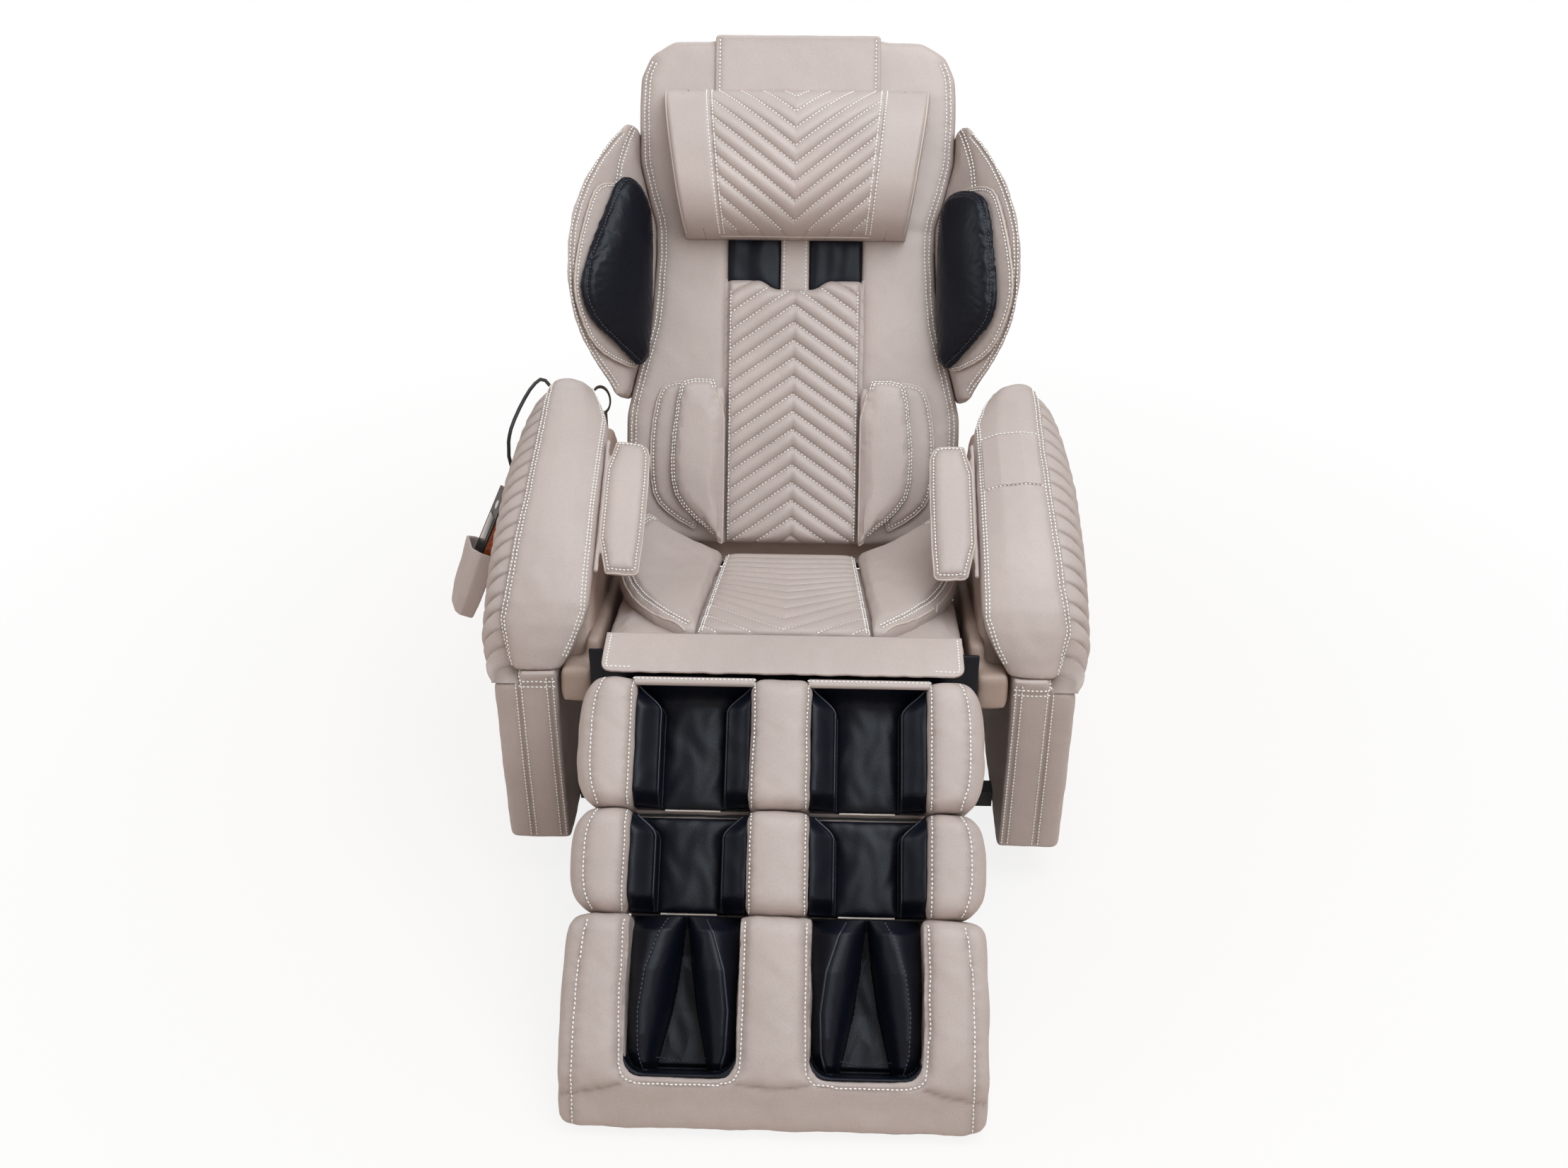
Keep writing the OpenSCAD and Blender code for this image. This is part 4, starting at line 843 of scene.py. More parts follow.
def grid_pad(name, place, front, back):
    """A closed pad in a place: a front grid of points (rows, columns, 3) and a back like it,
    of which only the rim is used."""
    rows, cols, _ = front.shape
    at = np.arange(rows * cols).reshape(rows, cols)
    quads = np.stack([at[:-1, :-1], at[:-1, 1:], at[1:, 1:], at[1:, :-1]], axis=-1).reshape(-1, 4)
    rim = np.concatenate([at[0, :-1], at[:-1, -1], at[-1, :0:-1], at[:0:-1, 0]])
    base, count = rows * cols, len(rim)
    behind = put(place, back)[rim]
    walls = [(rim[i], base + i, base + (i + 1) % count, rim[(i + 1) % count]) for i in range(count)]
    cap = [(base + (i + 1) % count, base + i, base + count) for i in range(count)]
    points = np.vstack([put(place, front), behind, behind.mean(0)[None]])
    obj = new_piece(name, points, [tuple(q) for q in quads] + walls + cap)
    return tidy_normals(obj, 1e-7)


def flattened(front, axis, value):
    """A copy of a grid with one coordinate set to a value, for a flat back."""
    back = front.copy()
    back[..., axis] = value
    return back


def channel(phase, sharp=0.5):
    """Height of a sewn channel, 0 in the valleys at whole numbers and 1 on the ridges."""
    return np.abs(np.sin(math.pi * phase)) ** sharp


def valley_shade(height, most=0.6, steep=1.6):
    """How far into a valley a channel's height lies, used as the amount of painted shade there."""
    return most * np.clip(1 - height * steep, 0, 1)


def edge_fall(a, power=8):
    """1 in the middle and 0 at -1 and 1, with a round shoulder."""
    return np.sqrt(np.clip(1 - np.abs(a) ** power, 0, 1))


def ease(t):
    t = np.clip(t, 0, 1)
    return t * t * (3 - 2 * t)


# %% [markdown]
# The middle of the backrest is a long panel of chevrons that point up, sewn about 30 mm
# apart. Its upper edge dips beside the neck strap.

# %% Centre panel of the backrest
CENTRE_HALF, CENTRE_LEN, CENTRE_Z, CENTRE_BACK = 112.0, 442.0, 12.0, 26
PITCH, SLOPE = 30.0, 0.7
THREAD_DROP = 2.3


def panel_top(x):
    """The upper edge of the panel falls towards the neck strap."""
    return CENTRE_LEN + 3 + 15 * ease((np.abs(x) - 27) / 36)


def centre_phase(x, z):
    return (z + SLOPE * np.abs(x)) / PITCH + 0.5


def centre_surface(x, z):
    """Depth in the backrest's place of the panel at x across and z up from its lower edge."""
    length = panel_top(x) - CENTRE_Z
    fall = edge_fall(np.clip(x / (CENTRE_HALF + 2), -1, 1), 30) * edge_fall((2 * z / length) - 1, 24)
    crease = 1.6 * grid_ripple(x * MM, z * MM * 0.6, 0 * x, 0.07, 1.0)
    rise = 8.5 * channel(centre_phase(x, z)) * np.clip((CENTRE_HALF + 1 - np.abs(x)) / 7, 0, 1) ** 0.5
    spine = 2.2 * np.exp(-(x / 5.0) ** 2)
    depth = CENTRE_BACK - (8 + 25 * fall + rise * fall + crease * 0.6 * fall - spine)
    return np.where(np.abs(x) > CENTRE_HALF + 1, np.minimum(depth, 5.0), depth)


across = np.linspace(-CENTRE_HALF - 8, CENTRE_HALF + 8, 137)
x, share = np.meshgrid(across, np.linspace(0, 1, 300))
z = 0.4 + share * (panel_top(x) - CENTRE_Z - 0.6)
front = np.stack([x, centre_surface(x, z), z + CENTRE_Z], -1)
centre = grid_pad("centre_panel_quilt", BACK, front, flattened(front, 1, CENTRE_BACK))
# Painted shade in the valleys of the chevrons.
mark_fold_shade(centre, valley_shade(channel(centre_phase(x, z))))
sign_off(centre, "centre_panel", TAUPE)


def centre_thread(path):
    """Thread on the panel along x, z pairs."""
    path = even_line(path, 3.0)
    if len(path) < 4:
        return
    depth = centre_surface(path[:, 0], path[:, 1] - CENTRE_Z)
    local = np.stack([path[:, 0], depth - THREAD_DROP, path[:, 1]], -1)
    gather(thread_lines, "thread_backrest", put(BACK, local))


for k in range(-3, 16):
    apex = (k + 0.5) * PITCH + CENTRE_Z
    for side in (1, -1):
        path = [(side * x, apex - SLOPE * x) for x in np.linspace(2, CENTRE_HALF - 6, 24)]
        path = [p for p in path if CENTRE_Z + 5 < p[1] < panel_top(p[0]) - 4]
        if len(path) > 3:
            centre_thread(path)
for side in (1, -1):
    centre_thread([(side * (CENTRE_HALF - 5.0), z) for z in (20, CENTRE_LEN - 6)])

# %% [markdown]
# The seat's middle is quilted too, with its chevrons pointing at the front edge. It widens
# a little towards the front, and the channels run square to the seat near its rear.

# %% Centre pad of the seat
SEAT_LEN, COVER_T = 376.0, 22.0
# Where each channel's valley meets the centre line, in mm ahead of the backrest
SEAT_VALLEYS = [8, 34, 60, 86, 113, 140, 168, 198, 232, 270, 312, 358, 404, 450, 496]


def seat_bend(d):
    """How far a valley has come back towards the rear by the time it meets the pad's side."""
    return 108.0 * (np.clip(d, 0, 350) / 350.0) ** 1.7


def seat_point(c, v, lift=0.0):
    """Point of the pad at c, -1 to 1 across, and v, 0 at the rear to 1 at the front."""
    d = 8 + v * (SEAT_LEN - 12)
    wide = CENTRE_HALF - 2 + 21 * d / SEAT_LEN
    apex = d
    for _ in range(24):
        apex = 0.5 * apex + 0.5 * (d + seat_bend(apex) * np.abs(c) ** 1.1)
    fall = edge_fall(c, 14) * edge_fall(2 * v - 1, 30)
    rise = 7.0 * channel(np.interp(apex, SEAT_VALLEYS, np.arange(len(SEAT_VALLEYS))), 0.45)
    z = -COVER_T + 8 + fall * (COVER_T - 8 - 5.0 + rise) + lift
    return np.stack([c * wide, -d, z], -1)


c, v = np.meshgrid(np.linspace(-1, 1, 121), np.linspace(0, 1, 235))
front = seat_point(c, v)
seat_quilt = grid_pad("seat_centre_quilt", SEAT, front, flattened(front, 2, -COVER_T + 0.3))
low = taken(SEAT, points_of(seat_quilt))[:v.size, 2].reshape(v.shape)
# Painted shade where the pad sinks into its valleys.
mark_fold_shade(seat_quilt, 0.6 * np.clip((-1.6 - low) / 4.0, 0, 1) * edge_fall(c, 20))
sign_off(seat_quilt, "seat_centre_pad", TAUPE)
for apex in SEAT_VALLEYS[1:]:
    a = np.linspace(0.015, 0.95, 60)
    at = (apex - seat_bend(np.full(60, float(apex))) * a ** 1.1 - 8) / (SEAT_LEN - 12)
    a, at = a[at < 0.985], at[at < 0.985]
    for side in (1, -1):
        if len(a) > 4:
            thread_row("thread_seat", SEAT, seat_point(side * a, at, 1.7))
for side in (1, -1):
    for share in (0.94, 0.975):
        row = seat_point(np.full(60, side * share), np.linspace(0.02, 0.98, 60), 0.6)
        thread_row("thread_seat", SEAT, row)

# %% [markdown]
# The head pillow is a fat bolster: plain ends, and a middle with V-shaped channels between
# two sewn seams. It hangs on a flap that comes over the top of the backrest, so its own
# underside is flat.

# %% Pillow
PILLOW_LOW, PILLOW_H, PILLOW_T = 525.0, 244.0, 104.0
PILLOW_LOW_HALF, PILLOW_TOP_HALF = 188.0, 226.0
PILLOW_SEAM = 0.645
PILLOW_SLOPE, PILLOW_PITCH, PILLOW_FIRST = 0.78, 29.0, 20.0


def pillow_wide(v):
    return PILLOW_LOW_HALF + (PILLOW_TOP_HALF - PILLOW_LOW_HALF) * v


def pillow_phase(x, v):
    """Whole numbers lie on the sewn V lines, which point down."""
    return (PILLOW_H * v - PILLOW_FIRST - PILLOW_SLOPE * np.abs(x)) / PILLOW_PITCH


def pillow_point(c, v, lift=0.0):
    a, wide = np.abs(c), pillow_wide(v)
    swell = np.clip(1 - np.abs(2 * v - 1) ** 2.6, 0, 1) ** 0.5
    ends = np.clip(1 - ((a - 0.93) / 0.07).clip(0, 1) ** 3.0, 0, 1) ** 0.42
    quilted = np.clip((PILLOW_SEAM - a) / 0.03, 0, 1) * np.clip(v * 40, 0, 1) * np.clip((1 - v) * 40, 0, 1)
    rise = (8.5 * channel(pillow_phase(c * wide, v)) - 5) * quilted
    seam = 4.5 * np.exp(-((a - PILLOW_SEAM) * wide / 4.0) ** 2)
    depth = 12 + (PILLOW_T - 12) * swell * ends + (rise - seam) * swell ** 0.5 + lift
    return np.stack([c * wide * (1 - 0.02 * (1 - swell) * (a > 0.8)), -depth, PILLOW_LOW + PILLOW_H * v], -1)


across = np.concatenate([-np.linspace(1, 0, 115), np.linspace(0, 1, 115)[1:]])
c, v = np.meshgrid(across, np.linspace(0, 1, 215))
front = pillow_point(c, v)
slack = 1.1 * ripple(front.reshape(-1, 3) * MM * [0.5, 1, 1], 0.09, 4.0).reshape(c.shape)
front[..., 1] -= slack * (np.abs(c) > PILLOW_SEAM)
pillow = grid_pad("head_pillow", BACK, front, flattened(front, 1, -0.2))
# Painted shade in the valleys of the quilted middle, none on the plain ends.
valley = valley_shade(channel(pillow_phase(c * pillow_wide(v), v)))
mark_fold_shade(pillow, np.where(np.abs(c) < PILLOW_SEAM, valley, 0))
sign_off(pillow, "pillow", TAUPE)


def pillow_row(c, v, keep, lift=THREAD_DROP):
    row = pillow_point(c[keep], v[keep], lift)
    if len(row) > 5:
        thread_row("thread_pillow", BACK, row)


for k in range(-5, 9):
    for side in (1, -1):
        c = side * np.linspace(0.012, PILLOW_SEAM - 0.02, 70)
        v = np.full(70, 0.5)
        for _ in range(12):
            v = (k * PILLOW_PITCH + PILLOW_FIRST + PILLOW_SLOPE * np.abs(c) * pillow_wide(v)) / PILLOW_H
        pillow_row(c, v, (v > 0.035) & (v < 0.975))
v = np.linspace(0.02, 0.98, 90)
for side in (1, -1):
    for off in (-0.02, 0.02):
        pillow_row(np.full(90, side * (PILLOW_SEAM + off)), v, v > 0, 1.0)
    rim = pillow_point(np.full(90, side * 0.975), v, 0.6)
    gather(welt_lines, "welt_pillow", even_row(BACK, rim))
low = pillow_point(np.linspace(-0.66, 0.66, 120), np.full(120, 0.006), 0.8)
gather(welt_lines, "welt_pillow", even_row(BACK, low))

# %% [markdown]
# The outer cheek of each arm is fluted: some two dozen channels fan out from the crest down
# to a horizontal seam. The crest and that seam are two lines in side view. Each flute runs
# from one to the other and stands out in between. Its valleys are tight creases, so no
# stitches show there.

# %% Fluted arm cheeks
ARM_CREST = smooth_line([(-325, 396), (-300, 470), (-220, 550), (-100, 610), (40, 655), (110, 668),
                         (160, 655), (205, 620), (240, 565), (256, 500)], cuts=1)
CHEEK_LOW = smooth_line([(-326, 374), (-200, 346), (0, 330), (150, 342), (246, 404)], cuts=1)
ARM_CORE_OUT, ARM_OUT, ARM_IN = 400.0, 463.0, 294.0
FLUTES, FLUTE_SHARP, FLUTE_RISE, FLUTE_DROP = 25, 0.55, 13.0, 11.8


def at_run(line, u):
    """Points at shares u of a line's length, and its inward normals."""
    run = run_of(line)

    def where(t):
        return points_at(line, run, np.clip(t, 0, 1) * run[-1])
    d = where(u + 0.012) - where(u - 0.012)
    d /= np.linalg.norm(d, axis=-1, keepdims=True)
    return where(u), np.stack([d[..., 1], -d[..., 0]], -1)


def table(pairs, t):
    keys, values = zip(*pairs)
    return np.interp(t, keys, values)


CREST_OUT = [(0, 413), (0.1, 432), (0.2, 422), (0.37, 411), (0.5, 407), (0.75, 405), (1, 404)]
CREST_IN = [(0, 336), (0.06, 310), (0.12, 294), (0.6, 294), (0.68, 312), (0.75, 328), (1, 330)]
REACH = [(0, -15), (0.1, -3), (0.33, 0), (0.5, -1), (0.6, -8), (0.7, -20), (0.8, -31), (0.9, -39), (1, -46)]
BULGE = [(0, 0), (0.02, 0.22), (0.05, 0.45), (0.1, 0.68), (0.18, 0.86), (0.3, 0.96), (0.42, 1), (0.56, 0.94),
         (0.7, 0.8), (0.84, 0.56), (0.94, 0.3), (0.98, 0.14), (1, 0)]


def cheek_point(u, b):
    """Point of the cheek at u along the crest and b down from it."""
    top, inward = at_run(ARM_CREST, u)
    low, _ = at_run(CHEEK_LOW, u)
    p = top + inward * 25.0
    p = p + (low - p) * b[..., None]
    start = table(CREST_OUT, u) + 2
    end = np.full_like(u, ARM_CORE_OUT + 41)
    base = start + (end - start) * np.clip((b - 0.25) / 0.35, 0, 1)
    swell = table(BULGE, b)
    flute = FLUTE_RISE * channel(u * FLUTES, FLUTE_SHARP) - FLUTE_DROP
    x = base + (ARM_OUT + table(REACH, u) - base) * swell + flute * np.clip(swell * 1.4, 0, 1)
    return np.stack([x, p[..., 0], p[..., 1]], -1)


u, b = np.meshgrid(np.linspace(0, 1, 426), np.linspace(0, 1, 60))
front = cheek_point(u, b)
for label, sign, node_name in pair("arm_side_quilt"):
    back = flattened(front, 0, ARM_CORE_OUT + 0.3)
    cheek = grid_pad(f"arm_cheek_{label}", on_side(CHAIR, sign), front, back)
    # Painted shade in the valleys between the flutes.
    mark_fold_shade(cheek, valley_shade(channel(u * FLUTES, FLUTE_SHARP), 0.85, 1.25))
    sign_off(cheek, node_name, TAUPE)
print("quilted panels done")

# %% [markdown]
# ## Backrest
# The head and both side bolsters are one leather cover over one foam block, so their three
# solids go into a single cover. A double row of stitching follows the outer edge.

# %% Backrest cover
BACK_HALF = [(-40, 276), (60, 282), (187, 284), (233, 284), (262, 277), (300, 268), (340, 257), (385, 245),
             (440, 240), (500, 236), (550, 237), (600, 252), (655, 266), (740, 268), (798, 266), (835, 250),
             (860, 210)]
REARWARD, FORWARD, DOWN = (0, 1, 0), (0, -1, 0), (0, 0, -1)


def joined_cover(names, name, voxel, rounds, extras=()):
    """One cover over several solids of the same body, and over extra closed shapes."""
    bm = bmesh.new()
    for n in names:
        bm.from_mesh(nodes[n].data)
    for points, faces in extras:
        corners = [bm.verts.new(p) for p in points]
        for face in faces:
            bm.faces.new([corners[k] for k in face])
    source = bpy.data.meshes.new(name)
    bmesh.ops.remove_doubles(bm, verts=bm.verts, dist=MERGE)
    bm.to_mesh(source)
    bm.free()
    return softened(link(bpy.data.objects.new(name, source)), voxel, rounds)


def back_line(points, depth=-140.0):
    """x, z pairs on the front of the backrest as 3D points in front of it."""
    points = even_line(smooth_line(points))
    return np.stack([points[:, 0], np.full(len(points), depth), points[:, 1]], -1)


bolster = joined_cover(["back_side_left", "back_side_right", "head_panel"], "backrest_cover", 5.0, 26)
tree = surface(bolster)
edge = [(table(BACK_HALF, z) - 13, z) for z in range(20, 836, 20)]
seams = [lay(tree, BACK, back_line([(side * x, z) for x, z in edge]), REARWARD) for side in (1, -1)]
sew_and_stitch(bolster, seams, "thread_backrest", depth=1.6, pull=2.2, reach=10, slack=1.1, seed=0.4)
sign_off(bolster, "head_panel", TAUPE, also=("back_side_left", "back_side_right"))

# %% [markdown]
# Smaller pads share one recipe: a cover from the solid, a seam a fixed distance inside the
# outline, a row or two of thread, and a welt in the edge.

# %% Pads with an edge seam


def edge_pad(node_name, name, place, outline, toward, spread, part_name, inset=7.0, offsets=SINGLE_ROW,
             finish=TAUPE, voxel=3.0, rounds=6, pull=1.2, seed=0.0, slack=0.6, swell=0.0,
             shrink=0.6, keep=None):
    """Covers a pad. Its outline is flat, and spread turns it to 3D points ahead of the pad."""
    pad = cover(node_name, name, voxel, rounds)
    if swell:
        inflate(pad, swell, shrink=shrink)
    loop = even_line(drawn_in(outline, inset), closed=True)
    if keep:
        loop = loop[keep(loop)]
    seam = lay(surface(pad), place, spread(loop), toward, closed=keep is None)
    sew_and_stitch(pad, [seam], f"thread_{part_name}", offsets,
                   depth=1.0, pull=pull, reach=8.0, pucker=0.4, slack=slack, seed=seed)
    rim = even_line(drawn_in(outline, 1.6), closed=True)
    pipe(f"welt_{part_name}", lay(surface(pad), place, spread(rim), toward, closed=True))
    return sign_off(pad, node_name, finish)


def on_back(loop):
    return np.stack([loop[:, 0], np.full(len(loop), -170.0), loop[:, 1]], -1)


def corner_cut(loop):
    loop = np.asarray(loop, float)
    nxt = np.roll(loop, -1, axis=0)
    return np.stack([loop * 0.76 + nxt * 0.24, loop * 0.24 + nxt * 0.76], axis=1).reshape(-1, 2)


# %% [markdown]
# The lower back rests against an inner and an outer lumbar pad on each side. The inner ones
# have an air bag, so they swell, and their thread stops where they reach under the quilting.

# %% Lumbar pads
LUMBAR_INNER = corner_cut([(115, 8), (178, 60), (205, 100), (208, 170), (196, 274), (180, 293), (113.4, 293),
                           (113.4, 8)])
LUMBAR_OUTER = corner_cut([(150, 26), (205, 56), (234, 85), (242, 130), (241, 205), (229, 268), (209, 287),
                           (150, 287)])


def clear_of_quilt(loop):
    return (loop[:, 0] > 132) & (loop[:, 1] > 24)


for label, sign in SIDES:
    place = on_side(BACK, sign)
    edge_pad(f"lumbar_outer_{label}", f"lumbar_pad_outer_{label}", place, LUMBAR_OUTER, REARWARD, on_back,
             f"lumbar_outer_{label}", inset=5.5, voxel=2.8, seed=1.0 + sign)
    edge_pad(f"lumbar_inner_{label}", f"lumbar_pad_inner_{label}", place, LUMBAR_INNER, REARWARD, on_back,
             f"lumbar_inner_{label}", inset=6.5, offsets=(-2.0, 2.6), voxel=3.2, rounds=8, pull=1.8,
             seed=2.0 + sign, swell=4.0, keep=clear_of_quilt)

# %% [markdown]
# Inside each shoulder wing lies a backing pad, and on it a black air bag that squeezes the
# shoulder. The two black pads aren't mirror images, because they are blown up differently.

# %% Shoulder pads
SHOULDER_BACKING = corner_cut([(14, 318), (30, 302), (95, 318), (128, 338), (152, 372), (168, 410),
                               (170, 445), (160, 500), (140, 560), (124, 592), (100, 604), (50, 606),
                               (20, 600), (14, 588)])
SHOULDER_ENDS = {
    "left": [(98, 341), (140, 368), (164, 402), (168, 438), (152, 488), (116, 562), (84, 616), (50, 622)],
    "right": [(98, 345), (132, 372), (146, 404), (146, 436), (140, 500), (122, 574), (98, 596), (60, 604)]}
for label, sign in SIDES:
    place = on_side(WING, sign)
    edge_pad(f"shoulder_backing_{label}", f"shoulder_backing_pad_{label}", place, SHOULDER_BACKING, REARWARD,
             on_back, f"wings_{label}", inset=5.5, voxel=2.8, rounds=5, seed=3.0 + sign)
    airbag = corner_cut([(28, 302), (62, 320)] + SHOULDER_ENDS[label] + [(20, 600), (0, 560), (0, 330)])
    edge_pad(f"shoulder_pad_{label}", f"shoulder_airbag_{label}", place, airbag, REARWARD, on_back,
             f"shoulder_{label}", inset=8, finish=BLACK, rounds=8, pull=1.4, seed=4.0 + sign,
             swell=8.0, shrink=1.6)

# %% [markdown]
# The shoulder wings curve forward from the sides of the backrest. A double-stitched seam runs
# along the front edge of each, and a short one beside it crosses the crown.

# %% Shoulder wings
WING_REACH = [(256, 297), (270, 303), (285, 311), (306, 326), (335, 342), (370, 356), (415, 366), (470, 368),
              (520, 366), (560, 358), (600, 346), (640, 330), (680, 308), (705, 292), (713, 285)]
WING_AHEAD = -260.0
rim = [(table(WING_REACH, z) - 11, z) for z in range(272, 704, 12)]
crown = [(table(WING_REACH, z) - 20 - 0.3 * (704 - z), z) for z in range(560, 705, 8)]
for label, sign, node_name in pair("shoulder_wing"):
    wing = cover(node_name, f"shoulder_wing_cover_{label}", 4.0, 30)
    tree = surface(wing)
    seams = [lay(tree, on_side(BACK, sign), back_line(line, WING_AHEAD), REARWARD) for line in (rim, crown)]
    sew_and_stitch(wing, seams, f"thread_wings_{label}", depth=1.4, pull=1.8, reach=9, slack=1.2,
                   seed=5.0 + sign)
    sign_off(wing, node_name, TAUPE)

# %% [markdown]
# Above the quilted panel the neck has two black insets with a stitched taupe strap between
# them. They are three shallow pads that share one solid.

# %% Neck insets and strap
STRAP_IN, NECK_OUT, NECK_TOP, NECK_BACK = 24.0, 113.0, 539, 15


def dome_pad(name, x0, x1, z_low, front_depth, rise, crease=0.6, step=2.5):
    """A shallow pad on the backrest between x0 and x1, from z_low of x up to the pillow."""
    columns, rows = max(8, int((x1 - x0) / step)), max(8, int(90 / step))
    s, t = np.meshgrid(np.linspace(0, 1, columns), np.linspace(0, 1, rows))
    x = x0 + (x1 - x0) * s
    z = z_low(x) + (NECK_TOP - z_low(x)) * t
    body = (edge_fall(2 * s - 1, 5) * edge_fall(2 * t - 1, 7)) ** 0.8
    wave = crease * grid_ripple(x * MM, 0 * x, z * MM * 0.35, 0.05, x0)
    front = np.stack([x, front_depth + rise * (1 - body) - wave * body, z], -1)
    pad = grid_pad(name, BACK, front, flattened(front, 1, NECK_BACK))
    mark_fold_shade(pad)
    return pad


def inset_low(x):
    """The lower edges of the insets follow the upper edge of the quilted panel."""
    return panel_top(x) - 5


strap = dome_pad("neck_strap", -STRAP_IN, STRAP_IN, lambda x: np.full_like(x, CENTRE_LEN - 4), 1.0, 5.0)
sign_off(strap, "neck_panel", TAUPE)
for label, sign in SIDES:
    x0, x1 = sorted((sign * STRAP_IN, sign * NECK_OUT))
    inset = dome_pad(f"neck_inset_{label}", x0, x1, inset_low, 4.0, 6.0, crease=3.0)
    sign_off(inset, "neck_panel", BLACK)
    inset["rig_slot"] = "black_leather"
tree = surface(strap)
for x in (-18.5, 18.5):
    seam = lay(tree, BACK, back_line([(x, CENTRE_LEN), (x, 530)]), REARWARD)
    stitch("thread_backrest", tree, seam, SINGLE_ROW)

# %% [markdown]
# The pillow hangs on a flap sewn to its upper edge. The flap lies over the top of the
# backrest between two seams.

# %% Pillow flap
STRAP_HALF = 139.0
flap = cover("pillow_strap", "pillow_flap", 2.6, 4)
tree = surface(flap)
edges = [side * (STRAP_HALF - 8) for side in (1, -1)]
seams = [lay(tree, BACK, back_line([(x, 774), (x, 856)]), REARWARD) for x in edges]
sew_and_stitch(flap, seams, "thread_pillow", SINGLE_ROW, depth=0.8, pull=0.6, reach=6, pucker=0.3,
               slack=0.7, seed=6.0)
sign_off(flap, "pillow_strap", TAUPE)
print("backrest done")

# %% [markdown]
# ## Seat
# The seat is a firm box cushion with two loose wings on top that cup the hips. The wings
# are flat pads with a double-stitched rim and a welt in the edge.

# %% Seat cushion and wings
WING_RIM = [(150, 14), (200, 14), (232, 14), (240, 19), (248, 30), (264, 60), (273, 95), (276, 130),
            (273, 165), (264, 200), (250, 235), (234, 265), (214, 295), (195, 320), (176, 340),
            (162, 352), (150, 360), (134, 360)]
WING_LOOP = np.array([(112, 14)] + WING_RIM) * [1, -1]
WING_ROWS = (-2.7, 2.7)


def on_seat(loop):
    return np.stack([loop[:, 0], loop[:, 1], np.full(len(loop), 150.0)], -1)


def wing_line(inset, first):
    """The open side of a wing's outline, drawn in, from its first to its last but one corner."""
    return on_seat(even_line(smooth_line(drawn_in(WING_LOOP, inset)[first:-1])))


for label, sign, node_name in pair("seat_wing"):
    place = on_side(SEAT, sign)
    pad = inflate(cover(node_name, f"seat_wing_pad_{label}", 4.0, 8), 4.0, pressure=2.5, shrink=0.5)
    tree = surface(pad)
    seam = lay(tree, place, wing_line(12, 3), DOWN)
    rim = lay(tree, place, wing_line(2.5, 1), DOWN)
    sew_and_stitch(pad, [seam], f"thread_seat_wing_{label}", WING_ROWS, depth=1.4, pull=1.8, reach=9,
                   slack=1.6, seed=7.0 + sign)
    pipe(f"welt_seat_wing_{label}", rim)
    sign_off(pad, node_name, TAUPE)

base = inflate(cover("seat_base_cushion", "seat_cushion", 5.5, 10), 5.0, pressure=3.0, shrink=1.5)
front_line = even_line([(x, -SEAT_LEN - 120.0, -30.0) for x in (-262, 262)])
front_seam = lay(surface(base), SEAT, front_line, REARWARD)
sew(base, [front_seam], depth=1.2, pull=2.0, reach=10, pucker=0.6, slack=1.8, seed=8.0)
sign_off(base, "seat_base_cushion", TAUPE)

# %% [markdown]
# A leather gusset closes the gap between the seat's rear edge and the foot of the backrest.
# It is a sheet that dips between its two edges.

# %% Seat gusset
GUSSET_HALF, GUSSET_WALL, GUSSET_COLUMNS = 268, 1.6, 135
dip = smooth_line([(54, 362), (60, 352), (70, 349), (79, 356), (80, 372), (76, 386)])
across = np.linspace(-GUSSET_HALF, GUSSET_HALF, GUSSET_COLUMNS)
rows = np.stack([np.stack([across, np.full_like(across, y), np.full_like(across, z)], -1) for y, z in dip])
flat_rows = rows.reshape(-1, 3)
flat_rows[:, 1] += 1.6 * ripple(flat_rows * MM, 0.06, 3.0)
at = np.arange(len(flat_rows)).reshape(-1, GUSSET_COLUMNS)
quads = np.stack([at[:-1, :-1], at[:-1, 1:], at[1:, 1:], at[1:, :-1]], -1).reshape(-1, 4)
gusset = new_piece("seat_gusset", put(CHAIR, flat_rows), quads)
wall = gusset.modifiers.new("wall", "SOLIDIFY")
wall.thickness = GUSSET_WALL * MM
tidy_normals(settle(gusset))
# Painted shade: the whole gusset is half darkened and in the shaded taupe, as it lies in shade between seat
# and backrest.
mark_fold_shade(gusset, np.full(len(gusset.data.vertices), 0.5))
gusset.data.materials.append(SHADE)
smooth_shaded(gusset)
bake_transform(gusset)
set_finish(gusset, "taupe_leather")

# %% [markdown]
# A narrow flap bridges the gap to the leg rest. It is one soft sheet with a back: it droops
# towards its free edge, has round corners there, and waves a little along its length.

# %% Flap ahead of the seat
FLAP_HALF, FLAP_REACH, FLAP_CORNER, FLAP_T = 263.0, 76.0, 16, 3.2
FLAP = SEAT @ moved(0.0, -SEAT_LEN - 4.8, -11.5) @ turned("x", SEAT_RISE + 1)
flap_top = float(np.percentile(taken(FLAP, points_of(nodes["seat_flap"]))[:, 2], 92))


def flap_point(x, s, lift=0.0):
    """Point of the flap at x across and s in front of its hinge."""
    past = np.clip(s - (FLAP_REACH - FLAP_CORNER), 0, FLAP_CORNER)
    round_off = FLAP_CORNER - np.sqrt(np.clip(FLAP_CORNER ** 2 - past ** 2, 0, None))
    x = np.sign(x) * np.minimum(np.abs(x), FLAP_HALF - round_off)
    wave = grid_ripple(x * MM, s * MM * 0.5, 0 * x, 0.085, 2.0)
    fine = grid_ripple(x * MM, s * MM * 0.4, 0 * x, 0.032, 5.0)
    droop = 7 * np.clip(s / FLAP_REACH, 0, 1) ** 2.4
    z = flap_top + 0.6 - droop + (2.4 * wave + 0.9 * fine) * np.clip(s / 24, 0, 1) + lift
    return np.stack([x, -s, z], -1)


